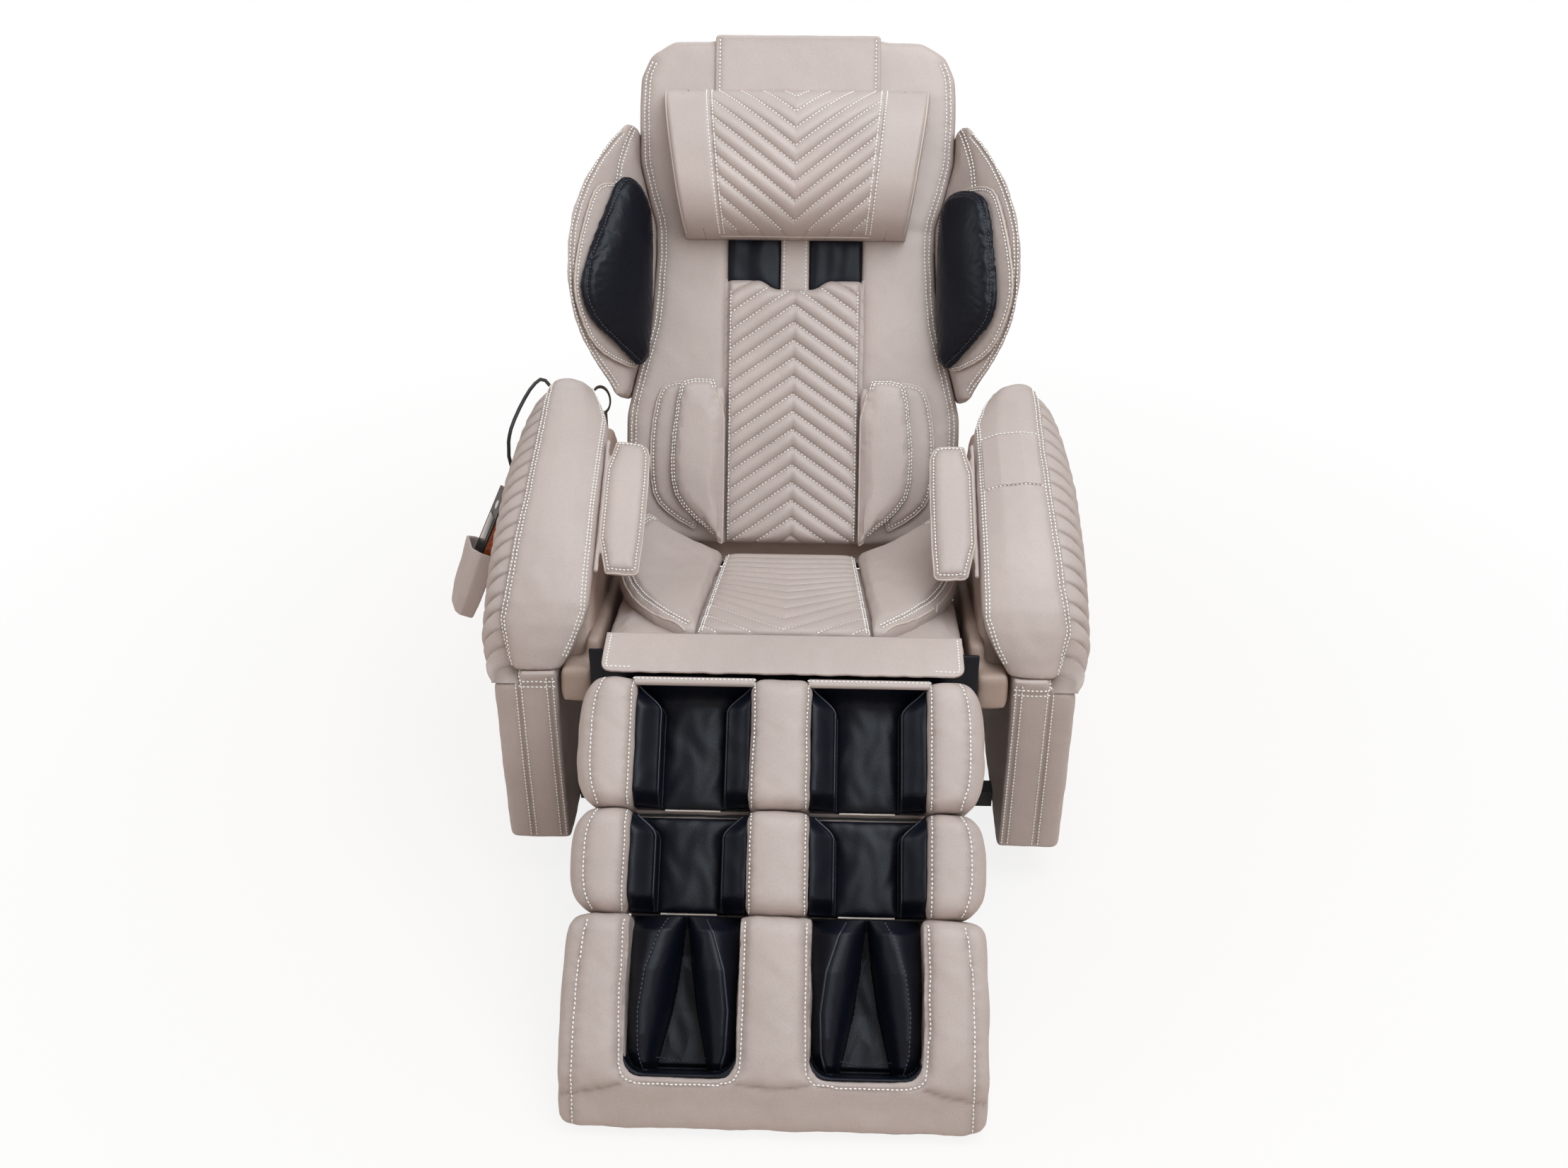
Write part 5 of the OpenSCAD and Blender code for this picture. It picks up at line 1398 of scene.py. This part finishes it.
x, s = np.meshgrid(np.linspace(-FLAP_HALF, FLAP_HALF, 211), np.linspace(-7, FLAP_REACH, 42))
front = flap_point(x, s)
flap = grid_pad("seat_bridge_flap", FLAP, front, front - [0, 0, FLAP_T])
mark_fold_shade(flap)
sign_off(flap, "seat_flap", TAUPE)
for side in (1, -1):
    s = np.concatenate([np.linspace(2, FLAP_REACH - 7, 40), np.full(12, FLAP_REACH - 7)])
    x = side * np.concatenate([np.full(40, FLAP_HALF - 7), np.linspace(FLAP_HALF - 8, FLAP_HALF - 40, 12)])
    thread_row("thread_flap", FLAP, smooth_line(flap_point(x, s, 0.8), cuts=1))

# %% [markdown]
# ## Arms
# A smooth rest runs over the crest of each arm. Its outer seam, where it meets the fluted
# cheek, is stitched on both sides and widens towards the front, then comes to a point over
# the lower column. The right rest has two more seams across, where a pocket is sewn on.

# %% Arm rests
ARM_OUTER_SEAM = [(0.0, 0.97), (0.06, 0.955), (0.14, 0.93), (0.3, 0.92), (0.6, 0.92), (1.0, 0.92)]
REST_LIFT, REST_CAST, REST_COUNT = 60.0, 0.14, 240


def rest_line(share, t):
    """Points above the rest at shares t of the crest and a share of its width, and the way down."""
    p, inward = at_run(ARM_CREST, t)
    x = table(CREST_IN, t) + (table(CREST_OUT, t) - table(CREST_IN, t)) * share
    p = p - inward * REST_LIFT
    return np.stack([x, p[:, 0], p[:, 1]], -1), inward


def lay_rest(tree, place, share_of, t0, t1):
    """A seam along the arm rest: each point is cast square to the crest."""
    t = np.linspace(t0, t1, REST_COUNT)
    points, inward = rest_line(share_of(t), t)
    rays = [(Vector(p), Vector(heading(place, (0, n[0], n[1])))) for p, n in zip(put(place, points), inward)]
    where, facing = cast(tree, rays, REST_CAST)
    run = run_of(where)
    at = np.arange(0, run[-1], 0.002)
    turned_out = points_at(facing, run, at)
    return points_at(where, run, at), turned_out / np.linalg.norm(turned_out, axis=1, keepdims=True), False


def rest_outer(t):
    return table(ARM_OUTER_SEAM, t)


def rest_inner(t):
    return np.full_like(t, 0.07)


for label, sign, node_name in pair("arm_top_pad"):
    place, region = on_side(CHAIR, sign), f"thread_arm_{label}"
    rest = cover(node_name, f"arm_rest_{label}", 4.2, 12)
    tree = surface(rest)
    outer = lay_rest(tree, place, rest_outer, 0.01, 0.97)
    inner = lay_rest(tree, place, rest_inner, 0.03, 0.95)
    sew_and_stitch(rest, [outer], region, depth=2.2, pull=1.6, reach=9, slack=1.5, seed=10.0 + sign)
    tree = surface(rest)
    stitch(region, tree, inner, (-2.8, 2.8))
    for t in (0.41, 0.55) if label == "right" else ():
        (above, _), (way, _) = rest_line(0.0, np.array([t, t + 1e-4]))
        x0, x1 = table(CREST_IN, t), table(CREST_OUT, t)
        line = [(x0 + (x1 - x0) * a, above[1], above[2]) for a in np.linspace(0.1, 0.88, 60)]
        seam = lay(tree, place, even_line(line), (0, way[0], way[1]), start=30)
        stitch(region, tree, seam, SINGLE_ROW)
    sign_off(rest, node_name, TAUPE)

# %% [markdown]
# Below the rest each arm ends in a plain leather column with two double-stitched seams down
# its front and one across under the rest's point.

# %% Arm columns
COLUMN_AHEAD, COLUMN_ROWS = -440.0, (-4.6, 4.6)
column_lines = [[(x, COLUMN_AHEAD, z) for z in (384, 230, 80)] for x in (352.0, 400.0)]
column_lines.append([(x, COLUMN_AHEAD, 374.0) for x in (346, 398)])
for label, sign, node_name in pair("arm_core"):
    core = cover(node_name, f"arm_column_{label}", 4.8, 6)
    tree = surface(core)
    seams = [lay(tree, on_side(CHAIR, sign), even_line(line), REARWARD) for line in column_lines]
    sew_and_stitch(core, seams, f"thread_arm_{label}", COLUMN_ROWS, depth=1.4, pull=1.2, reach=8,
                   pucker=0.3, slack=1.4, seed=12.0 + sign)
    sign_off(core, node_name, TAUPE)

# %% [markdown]
# Inside, each arm has a soft lining, which reaches down between the seat cushion and the arm
# as a padded roll. The roll is two boxes, remeshed and relaxed together into one soft form.

# %% Arm linings and rolls
ROLL_BOXES = (((280, -340, -122), (304, 0, -30)), ((290, -374, -122), (338, -316, -66)))
for label, sign, node_name in pair("arm_inner_pad"):
    pad = cover(node_name, f"arm_inner_lining_{label}", 5.0, 10)
    sew(pad, [], slack=2.2, seed=14.0 + sign)
    # The shaded taupe is painted shade inside the arm.
    sign_off(pad, node_name, SHADE)

for label, sign, node_name in pair("arm_inner_pad"):
    bm = bmesh.new()
    for low, high in np.array(ROLL_BOXES, float):
        made = bmesh.ops.create_cube(bm, size=1.0)
        for vert in made["verts"]:
            vert.co = put(on_side(SEAT, sign), (low + high) / 2 + np.array(vert.co) * (high - low))[0]
    source = bpy.data.meshes.new("lining_roll")
    bm.to_mesh(source)
    bm.free()
    roll = tidy_normals(softened(link(bpy.data.objects.new(f"arm_lining_roll_{label}", source)), 5.0, 24))
    sew(roll, [], slack=1.6, seed=33.0 + sign)
    # The roll is in the shaded taupe as well: painted shade between seat and arm.
    sign_off(roll, node_name, SHADE)

# %% [markdown]
# The forearm flaps are air cushions with a welt around them, hinged inside the arm rests.

# %% Forearm flaps
FOREARM_RISE, FOREARM_RUN = 112, 222
FOREARM_LEN = math.hypot(FOREARM_RUN, FOREARM_RISE)
FOREARM_SLOPE = math.degrees(math.atan2(FOREARM_RISE, FOREARM_RUN))
FOREARM = CHAIR @ (moved(ARM_IN - 0.3, -219, 506) @ turned("x", FOREARM_SLOPE) @ turned("y", -4))
FOREARM_LINE = corner_cut([(-4, 4), (-64, 0), (-72, 12), (-74, FOREARM_LEN - 30), (-66, FOREARM_LEN - 6),
                           (-56, FOREARM_LEN), (-4, FOREARM_LEN)])


def on_forearm(loop):
    return np.stack([loop[:, 0], loop[:, 1], np.full(len(loop), 120.0)], -1)


for label, sign, node_name in pair("forearm_flap"):
    edge_pad(node_name, f"forearm_pad_{label}", on_side(FOREARM, sign), FOREARM_LINE, DOWN, on_forearm,
             f"forearm_{label}", inset=6, voxel=2.8, slack=0.8, seed=15.0 + sign)

# %% [markdown]
# ## Handset, pockets and cable
# The right arm has a flat slip pocket sewn on its rest. The left arm carries the handset in
# a flared leather pocket.

# %% Pockets
slip = cover("phone_pocket", "slip_pocket", 2.0, 3)
mark_fold_shade(slip)
sign_off(slip, "phone_pocket", TAUPE)

flared = cover("remote_pocket", "handset_pocket", 2.2, 5)
sew(flared, [], slack=0.8, seed=17.0)
sign_off(flared, "remote_pocket", TAUPE)

# %% [markdown]
# The handset is a black slab with burl wood sides, a dark screen and one pale key. It leans
# in its pocket, so its place is built from the way up its length and the way its face looks.

# %% Place of the handset
REMOTE_L, REMOTE_T = 160.0, 22.0
FACE_TURN = math.radians(20)


def unit(v):
    return np.asarray(v, float) / np.linalg.norm(v)


UP = unit([0.4, 0.304, 0.864])
flat = unit(np.array([-1.0, 0, 0]) + UP * 0.4)
FACE = unit(flat * math.cos(FACE_TURN) + np.cross(UP, flat) * math.sin(FACE_TURN))
pocket = np.eye(4)
pocket[:3, 0], pocket[:3, 1], pocket[:3, 2] = np.cross(-FACE, UP), -FACE, UP
pocket[:3, 3] = np.array([-465.0, 28, 503]) - UP * REMOTE_L
HANDSET = CHAIR @ pocket
print("handset faces", np.round(FACE, 2))

# %% [markdown]
# Small hard parts that the imported model doesn't have are built here: the glass of the screen,
# the ribbed relief where the cable leaves, and the black cloth behind the seat flap, which is
# also painted shade: a dark sheet in the shaded gap below the seat.

# %% Screen, strain relief and a black sheet of painted shade


def small_part(name, place, shape, finish, slot, bevel=0.0):
    points, faces = shape
    obj = tidy_normals(new_piece(name, put(place, points), faces))
    if bevel:
        soft = obj.modifiers.new("edge", "BEVEL")
        soft.width, soft.segments, soft.limit_method = bevel * MM, 3, "ANGLE"
        settle(obj)
    obj.data.materials.append(finish)
    for polygon in obj.data.polygons:
        polygon.use_smooth = len(polygon.vertices) == 4
    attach(obj, "base")
    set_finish(obj, slot)


def box(low, high):
    points = [(x, y, z) for x in (low[0], high[0]) for y in (low[1], high[1]) for z in (low[2], high[2])]
    return points, [(0, 1, 3, 2), (4, 6, 7, 5), (0, 4, 5, 1), (2, 3, 7, 6), (0, 2, 6, 4), (1, 5, 7, 3)]


def turning(profile, count=28):
    """A ring solid from (radius, height) pairs, turned about z."""
    turn = [2 * math.pi * k / count for k in range(count)]
    points = [(r * math.cos(a), r * math.sin(a), z) for r, z in profile for a in turn]
    faces = [(i * count + k, i * count + n, (i + 1) * count + n, (i + 1) * count + k)
             for i in range(len(profile) - 1) for k, n in zip(range(count), [*range(1, count), 0])]
    last = (len(profile) - 1) * count
    return points, faces + [tuple(range(count))[::-1], tuple(range(last, last + count))]


def relief_rib(k):
    """Radius and height pairs of one rib and the groove above it. The ribs get thinner."""
    rib, groove, z = 6.7 - 0.35 * k, 5.4 - 0.3 * k, 2 * k
    return [(rib, z - 2), (rib, z - 0.8), (groove, z - 0.7), (groove, z - 0.1)]


ribs = [(6.6, -4)] + [p for k in range(7) for p in relief_rib(k)] + [(3.2, 12.4)]
glass = box((-20, -REMOTE_T / 2 - 0.9, REMOTE_L - 94), (20, -REMOTE_T / 2 - 0.2, REMOTE_L - 46))
# A black lining cloth and painted shade: a dark sheet in the shaded gap behind the seat flap.
shade_cloth = box((-290, -324, 352), (290, -318, 436))
small_part("seat_front_shade_cloth", CHAIR, shade_cloth, BLACK, "black_leather", 1.5)
small_part("handset_screen", HANDSET, glass, GLASS_BLACK, "black_gloss", 0.25)
cable_exit = HANDSET @ moved(12, 2, REMOTE_L)
small_part("handset_strain_relief", cable_exit, turning(ribs), BLACK_PLASTIC, "black_rubber")
print("small parts: screen, strain relief, cloth")

# %% [markdown]
# The cable is a slim lead held at both ends. It leaves through the ribbed relief, rises along
# the cheek and goes into the back of the arm. Its centre line repeats the route of the packed
# model, eased once, and it is swept as a round tube.

# %% Handset cable
CABLE_D = 0.006
ROUTE = [(-462, 40, 560), (-459, 34, 582), (-457, 30, 600), (-452, 42, 620), (-440, 80, 642),
         (-430, 130, 650), (-424, 190, 636), (-418, 240, 590), (-414, 268, 530), (-410, 270, 470),
         (-404, 270, 440), (-397, 268, 426), (-391, 264, 421), (-390.6, 256.5, 421)]
start = put(HANDSET, [(12, 2, REMOTE_L + 10.2)])[0] / MM
route = smooth_line(np.vstack([start, start + UP * 16, ROUTE]), cuts=1) * MM
cable_curve = bpy.data.curves.new("handset_cable", "CURVE")
cable_curve.dimensions, cable_curve.bevel_depth, cable_curve.bevel_resolution = "3D", CABLE_D / 2, 4
cable_curve.use_fill_caps = True
poly_line(cable_curve, route)
cable = link(bpy.data.objects.new("handset_cable", cable_curve))
cable.data.materials.append(BLACK_PLASTIC)
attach(cable, "base")
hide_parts("remote_cable")
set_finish(cable, "black_rubber")

# %% [markdown]
# ## Leg rest
# Two calf blocks and a foot box, each padded in three lobes. Between the lobes run two
# channels lined in black. Every lobe has a row of stitches close to both of its edges.

# %% Calf blocks
LEG_HALF, WELL_IN, WELL_OUT, WELL_D = 292.0, 44.0, 208.0, 88.0
WELL_MID, WELL_HALF = (WELL_IN + WELL_OUT) / 2, (WELL_OUT - WELL_IN) / 2
CALF_1, CALF_2 = 190.0, 150.0
FOOT_T = CALF_1 + CALF_2 - 3.6


def on_leg(pairs, height=120.0):
    """x, t pairs, t down the leg, as points above the leg rest."""
    pairs = even_line(pairs)
    return np.stack([pairs[:, 0], -pairs[:, 1], np.full(len(pairs), height)], -1)


def leg_seam(tree, pairs):
    return lay(tree, LEG, on_leg(pairs), DOWN)


def lobed(obj, t0, t1, draw, crown):
    """Rounds the three lobes: crowned across, and drawn in at both ends of the block."""
    p = taken(LEG, points_of(obj))
    v = 2 * np.clip((-p[:, 1] - t0) / (t1 - t0), 0, 1) - 1
    a = np.abs(p[:, 0])
    outer = np.clip((a - WELL_OUT - 16) / (LEG_HALF - WELL_OUT - 16), 0, 1)
    p[:, 0] -= np.sign(p[:, 0]) * draw * np.abs(v) ** 3 * outer ** 1.4
    side_lobe = np.clip((a - WELL_OUT) / (LEG_HALF - WELL_OUT), 0, 1) * 2 - 1
    across = np.where(a < WELL_IN + 4, a / WELL_IN, side_lobe)
    on_top = np.clip((p[:, 2] + 60) / 50, 0, 1) * (1 - ease((-p[:, 1] - 520) / 40))
    on_lobe = on_top * ((a < WELL_IN + 4) | (a > WELL_OUT - 4))
    p[:, 2] += on_lobe * (crown * (1 - across ** 2) - 6 * np.clip(np.abs(across), 0, 1) ** 6)
    return set_points(obj, put(LEG, p))


# x of each seam at the block's middle, and how far its ends bend towards the channel
LOBE_SEAMS = ((WELL_IN - 4.5, 0), (WELL_OUT + 5.5, 0), (LEG_HALF - 23, 15))
CALF_BLOCKS = (("upper", 0, CALF_1, 20.0), ("lower", CALF_1, CALF_1 + CALF_2 - 4, 21.0))
down = np.linspace(0.02, 0.98, 60)
for row, t0, t1, seed in CALF_BLOCKS:
    block = lobed(cover(f"calf_{row}", f"calf_block_{row}", 5.0, 14), t0, t1, 20.0, 6.0)
    tree = surface(block)
    seams = []
    for side in (1, -1):
        for x, bend in LOBE_SEAMS:
            at = np.stack([side * (x - bend * np.abs(2 * down - 1) ** 3), t0 + down * (t1 - t0)], -1)
            seams.append(leg_seam(tree, at))
    sew_and_stitch(block, seams, "thread_calf", SINGLE_ROW, depth=1.2, pull=1.6, reach=9, pucker=0.7,
                   slack=2.2, seed=seed)
    sign_off(block, f"calf_{row}", TAUPE)

# %% [markdown]
# The channels are lined in black leather over air bags. Each lining is one computed relief:
# a puffed floor, and a pad along either wall whose welted edge starts at the wall and comes
# inwards.

# %% Relief of a channel


def around(n, reach=6):
    """Mean height around each grid point, so hollows can be told from crests and given painted shade."""
    for axis in (0, 1):
        n = sum(np.roll(n, k, axis) for k in range(-reach, reach + 1)) / (2 * reach + 1)
    return n


def relief_pad(name, x_mid, half, t0, t1, height, base):
    """A closed pad over one channel: height gives n at x across and t down the leg."""
    x, t = np.meshgrid(np.linspace(-half, half, 111), np.arange(t0, t1 + 1.0, 2.0))
    n = height(x, t)
    front = np.stack([x_mid + x, -t, n], -1)
    pad = grid_pad(name, LEG, front, flattened(front, 2, base))
    # Painted shade in the hollows of the relief.
    mark_fold_shade(pad, np.clip((around(n) - n) / 6.0, 0, 0.7))
    return pad


def relief_line(x_mid, x, t, n):
    """A line over a relief, as points in the leg rest's place."""
    return np.stack([x_mid + x, -t, n], -1)


def calf_ridge(t, t0):
    return 80 - 35 * ease((t - t0 + (0 if t0 < 20 else 12)) / 44.0)


def calf_relief(side, t0, t1):
    def height(x, t):
        a, ridge, u = np.abs(x), calf_ridge(t, t0), t - t0
        wrinkle = grid_ripple(x * MM * 1.6, t * MM, 0 * x, 0.075, side + t0)
        puff = edge_fall(np.clip(a / ridge, 0, 1), 3) * edge_fall(2 * u / (t1 - t0) - 1, 7)
        floor = -WELL_D + 11 + 10 * puff + 1.8 * wrinkle
        if t0 < 20:
            floor = floor + 52 * np.exp(-(u / 15.0) ** 1.6)
        pad = -33 + 19 * ease((a - ridge) / 34) - 30 * ease(1 - (t1 - t) / 24) + 1.2 * wrinkle
        step = ease((a - ridge) / 4.5)
        return floor * (1 - step) + np.maximum(pad, floor + 2) * step
    return height


# %% [markdown]
# A dark welt follows the edge of each wall pad, and a taupe one closes the lower end of each
# floor.

# %% Channel linings
CALF_ROWS = (("upper", 4.0, CALF_1 - 5.0), ("lower", CALF_1 + 6.0, CALF_1 + CALF_2 - 8.0))
for label, side in SIDES:
    middle = side * WELL_MID
    for row, t0, t1 in CALF_ROWS:
        height = calf_relief(side, t0, t1)
        name = f"calf_lining_{row}_{label}"
        lining = relief_pad(name, middle, WELL_HALF - 0.3, t0, t1, height, 0.3 - WELL_D)
        sign_off(lining, "calf_liners", BLACK)
        lining["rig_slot"] = "black_leather"
        t = np.arange(t0 + 2, t1 - 1, 2.0)
        for edge in (1, -1):
            x = edge * (calf_ridge(t, t0) + 3.5)
            gather(welt_lines, "dark_welt_calf", put(LEG, relief_line(middle, x, t, height(x, t) + 0.6)))
        x = np.arange(-40, 41, 2.0)
        n = height(x, np.full_like(x, t1)) + 1.0
        gather(welt_lines, "welt_calf", put(LEG, relief_line(middle, x, np.full_like(x, t1 + 0.5), n)))

# %% [markdown]
# A taupe band rolls over the upper end of each channel, and has a row of stitches.

# %% Bands at the head of the channels
roll_over = [(8 - 8 * math.sin(g), -20 + 8 * math.cos(g)) for g in np.linspace(-0.35, math.pi / 2, 14)]
profile = roll_over + [(0.0, -40.0), (0.0, -64.0)]
for label, side in SIDES:
    x = side * np.linspace(WELL_IN - 5, WELL_OUT + 5, 90)
    top = np.stack([relief_line(0, x, np.full_like(x, t), np.full_like(x, n)) for t, n in profile])
    band = grid_pad(f"calf_head_band_{label}", LEG, top, top + [0, -3.0, -3.0])
    mark_fold_shade(band)
    sign_off(band, "calf_upper", TAUPE)
    thread_row("thread_calf", LEG, relief_line(0, x, np.full_like(x, 4.0), np.full_like(x, -12.6)))

# %% [markdown]
# The foot box is one big cover with two openings for the feet, round at their lower ends.
# A row of stitches follows each opening and each side, and the cover is drawn in across the
# toes by seams without stitches.

# %% Foot box
FOOT_OPENING_END = 553.0


def corner_fill(x_wall, inward, t_end=FOOT_OPENING_END, radius=30.0):
    """A prism that rounds one lower corner of an opening."""
    ring = [(x_wall - inward * 3, t_end + 6), (x_wall - inward * 3, t_end - radius)]
    ring += [(x_wall + inward * (radius - radius * math.cos(g)), t_end - radius + radius * math.sin(g))
             for g in np.linspace(0, math.pi / 2, 9)]
    ring += [(x_wall + inward * radius, t_end + 6)]
    k = len(ring)
    points = put(LEG, [(x, -t, n) for n in (-86.0, -5.0) for x, t in ring])
    faces = [tuple(range(k)), tuple(range(2 * k - 1, k - 1, -1))]
    return points, faces + [(i, (i + 1) % k, k + (i + 1) % k, k + i) for i in range(k)]


MOUTH_SEAM = [(WELL_IN - 1, FOOT_T + 10), (WELL_IN - 1, 532), (WELL_IN + 6, 556), (WELL_IN + 34, 562),
              (WELL_OUT - 34, 562), (WELL_OUT - 6, 556), (WELL_OUT + 1, 532), (WELL_OUT + 1, FOOT_T + 10)]
SIDE_SEAM = [(LEG_HALF - 32, FOOT_T + 12), (LEG_HALF - 24, 400), (LEG_HALF - 21, 480), (LEG_HALF - 22, 632)]
TOE_SEAM = [(286, 578), (240, 573), (204, 562)]
TOE_MIDDLE = [(-50, 560), (0, 566), (50, 560)]


def foot_seam(tree, pairs, side=1):
    return leg_seam(tree, smooth_line([(side * x, t) for x, t in pairs]))


walls = ((WELL_IN + 6, 1), (WELL_OUT - 6, -1))
fills = [corner_fill(side * x, side * inward) for side in (1, -1) for x, inward in walls]
foot = lobed(joined_cover(["foot_cover"], "foot_box", 5.0, 12, fills), FOOT_T - 60, 700, 6.0, 5.0)
tree = surface(foot)
sewn = [foot_seam(tree, line, side) for side in (1, -1) for line in (MOUTH_SEAM, SIDE_SEAM)]
plain_seams = [foot_seam(tree, TOE_SEAM, side) for side in (1, -1)] + [foot_seam(tree, TOE_MIDDLE)]
sew(foot, sewn + plain_seams, depth=1.6, pull=1.8, reach=9, pucker=0.7, slack=2.6, seed=24.0)
tree = surface(foot)
for seam in sewn:
    stitch("thread_foot", tree, seam, SINGLE_ROW)
sign_off(foot, "foot_cover", TAUPE)

# %% [markdown]
# In each opening stands a black boot: two fat bolsters that part from a V at the heel, a
# creased sole between them, and a stitched tongue at the toes. It is one relief as well.

# %% Boots
BOOT_END = 551.0


def boot_ridge(v):
    return np.interp(v, [0, 0.12, 0.35, 0.6, 0.85, 1], [20, 34, 50, 57, 55, 46])


def boot_relief(side):
    def height(x, t):
        a, v = np.abs(x), (t - FOOT_T) / (BOOT_END - FOOT_T)
        ridge = boot_ridge(v)
        floor = np.interp(v, [0, 0.08, 0.25, 0.6, 0.84, 0.93, 0.95, 1],
                          [-40, -58, -72, -77, -70, -68, -76, -78])
        top = np.interp(v, [0, 0.1, 0.35, 0.75, 0.92, 1], [-36, -17, -6, -8, -18, -46])
        start = np.interp(v, [0, 0.3, 0.6, 0.9, 1], [1, 8, 18, 33, 38])
        q = np.clip((a - start) / (ridge - start), 0, 1)
        crease = np.abs(grid_ripple(x * MM, t * MM * 0.45, 0 * x, 0.05, 3.0 * side))
        bolster = (top - floor) * np.sqrt(np.clip(1 - (1 - q) ** 2.2, 0, 1))
        inner = floor + bolster - 5 * crease * (1 - q) * np.clip(1.2 - v, 0, 1)
        out = np.clip((a - ridge) / (76 - ridge), 0, 1)
        # The end wall follows the round corners of the opening
        end = 541 - 30 + np.sqrt(np.clip(900 - np.clip(a - 46, 0, 30) ** 2, 0, None))
        wall = -82 + 73 * ease((t - end) / 7)
        return np.maximum(np.where(a < ridge, inner, top - 36 * out ** 1.7), wall)
    return height


# %% [markdown]
# Thread follows the outer bolster of each boot and crosses its tongue. The inner bolster has
# a welt instead.

# %% Boots in their openings
for label, side in SIDES:
    middle, height = side * WELL_MID, boot_relief(side)
    boot = relief_pad(f"foot_boot_{label}", middle, WELL_HALF - 6.4, FOOT_T + 1, BOOT_END, height, -87.0)
    sign_off(boot, "foot_liners", BLACK)
    boot["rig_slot"] = "black_leather"
    t = np.arange(FOOT_T + 6, BOOT_END - 6, 2.0)
    ridge = boot_ridge((t - FOOT_T) / (BOOT_END - FOOT_T))
    x = side * (ridge + 2.0)
    thread_row("thread_boots", LEG, relief_line(middle, x, t, height(x, t) + 0.7))
    x = -side * (ridge + 6.0)
    gather(welt_lines, "dark_welt_foot", put(LEG, relief_line(middle, x, t, height(x, t) + 0.7)))
    x = np.arange(-34, 35, 2.0)
    t = np.full_like(x, FOOT_T + 0.9 * (BOOT_END - FOOT_T)) + 2.5 * np.cos(x / 14.0)
    thread_row("thread_boots", LEG, relief_line(middle, x, t, height(x, t) + 0.5))

# %% [markdown]
# ## Shell, frame and drives
# The rear shell is covered in leather, with two seams down its back.

# %% Rear shell
shell = cover("back_shell", "back_shell_cover", 5.5, 8)
tree = surface(shell)
down = np.linspace(40, 800, 380)
seams = [lay(tree, BACK, np.stack([np.full_like(down, x), np.full_like(down, 330.0), down], -1), FORWARD)
         for x in (-150.0, 150.0)]
sew_and_stitch(shell, seams, "thread_shell", depth=1.4, pull=1.6, reach=9, slack=2.0, seed=28.0)
# The shaded taupe is painted shade on the rear of the chair.
sign_off(shell, "back_shell", SHADE)

# %% [markdown]
# Behind the covers the chair is steel and plastic. The solids already have the right shapes,
# so they keep them and get a finish.

# %% Finishes of the hard parts
FINISHES = {
    "base_frame": STEEL_PAINT, "seat_pan": STEEL_PAINT, "back_frame": STEEL_PAINT, "leg_frame": STEEL_PAINT,
    "roller_carriage": CAST_CASE, "massage_rollers": TYRE_RUBBER, "foot_rollers": TYRE_RUBBER,
    "transport_wheels": TYRE_RUBBER, "back_drive_rod": GROUND_STEEL, "leg_drive_rod": GROUND_STEEL,
    "back_drive_motor": CAST_CASE, "leg_drive_motor": CAST_CASE, "air_pump": CAST_CASE,
    "power_inlet": BLACK_PLASTIC, "remote_body": GLOSS_PLASTIC, "remote_trim": BURL,
    "remote_key": PALE_PLASTIC, "pull_loop": WEBBING,
}
for node_name, finish in FINISHES.items():
    nodes[node_name].data.materials.clear()
    nodes[node_name].data.materials.append(finish)
print("finished solids:", len(FINISHES))

# %% [markdown]
# ## Sewing it all up
# Now every gathered line becomes thread or welt, one mesh for each region. Each region rides
# on the body of its cover.

# %% Bodies of the regions
REGION_BODY = {
    "thread_backrest": "backrest", "thread_shell": "backrest", "thread_seat": "base",
    "thread_pillow": "pillow", "welt_pillow": "pillow", "thread_flap": "seat_flap",
    "thread_calf": "legrest", "welt_calf": "legrest", "dark_welt_calf": "legrest",
    "thread_foot": "foot", "thread_boots": "foot", "dark_welt_foot": "foot",
}
for side, _ in SIDES:
    for kind in ("thread", "welt"):
        for part_name in ("lumbar_inner", "lumbar_outer", "seat_wing"):
            REGION_BODY[f"{kind}_{part_name}_{side}"] = f"{part_name}_{side}"
        REGION_BODY[f"{kind}_shoulder_{side}"] = f"shoulder_pad_{side}"
        REGION_BODY[f"{kind}_forearm_{side}"] = f"forearm_flap_{side}"
        REGION_BODY[f"{kind}_wings_{side}"] = "backrest"
    REGION_BODY[f"thread_arm_{side}"] = "base"
DARK_REGIONS = ("thread_shoulder_right", "thread_shoulder_left", "thread_boots")

# %% [markdown]
# Stitches are about 6 mm apart, as on heavy upholstery. The dark welts are a little thicker
# than the taupe ones.

# %% Thread and welts
STITCH_PITCH, THREAD_RADIUS = 0.0062, 0.0012
DARK_WELT_RADIUS, WELT_RADIUS = 0.0019, 0.0016


def finished(row, region, dark):
    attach(row, REGION_BODY[region])
    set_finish(row, "black_leather" if dark else "taupe_leather")
    print(region, len(row.data.polygons), "faces")


for region, lines in sorted(thread_lines.items()):
    dark = region in DARK_REGIONS
    values = {"Pitch": STITCH_PITCH, "Thread": THREAD_RADIUS, "Finish": DARK_THREAD if dark else THREAD}
    finished(grown(region, lines, STITCHING, values), region, dark)
for region, lines in sorted(welt_lines.items()):
    dark = region.startswith("dark")
    values = {"Radius": DARK_WELT_RADIUS if dark else WELT_RADIUS, "Finish": BLACK_WELT if dark else WELT}
    finished(smooth_shaded(grown(region, lines, PIPING, values)), region, dark)
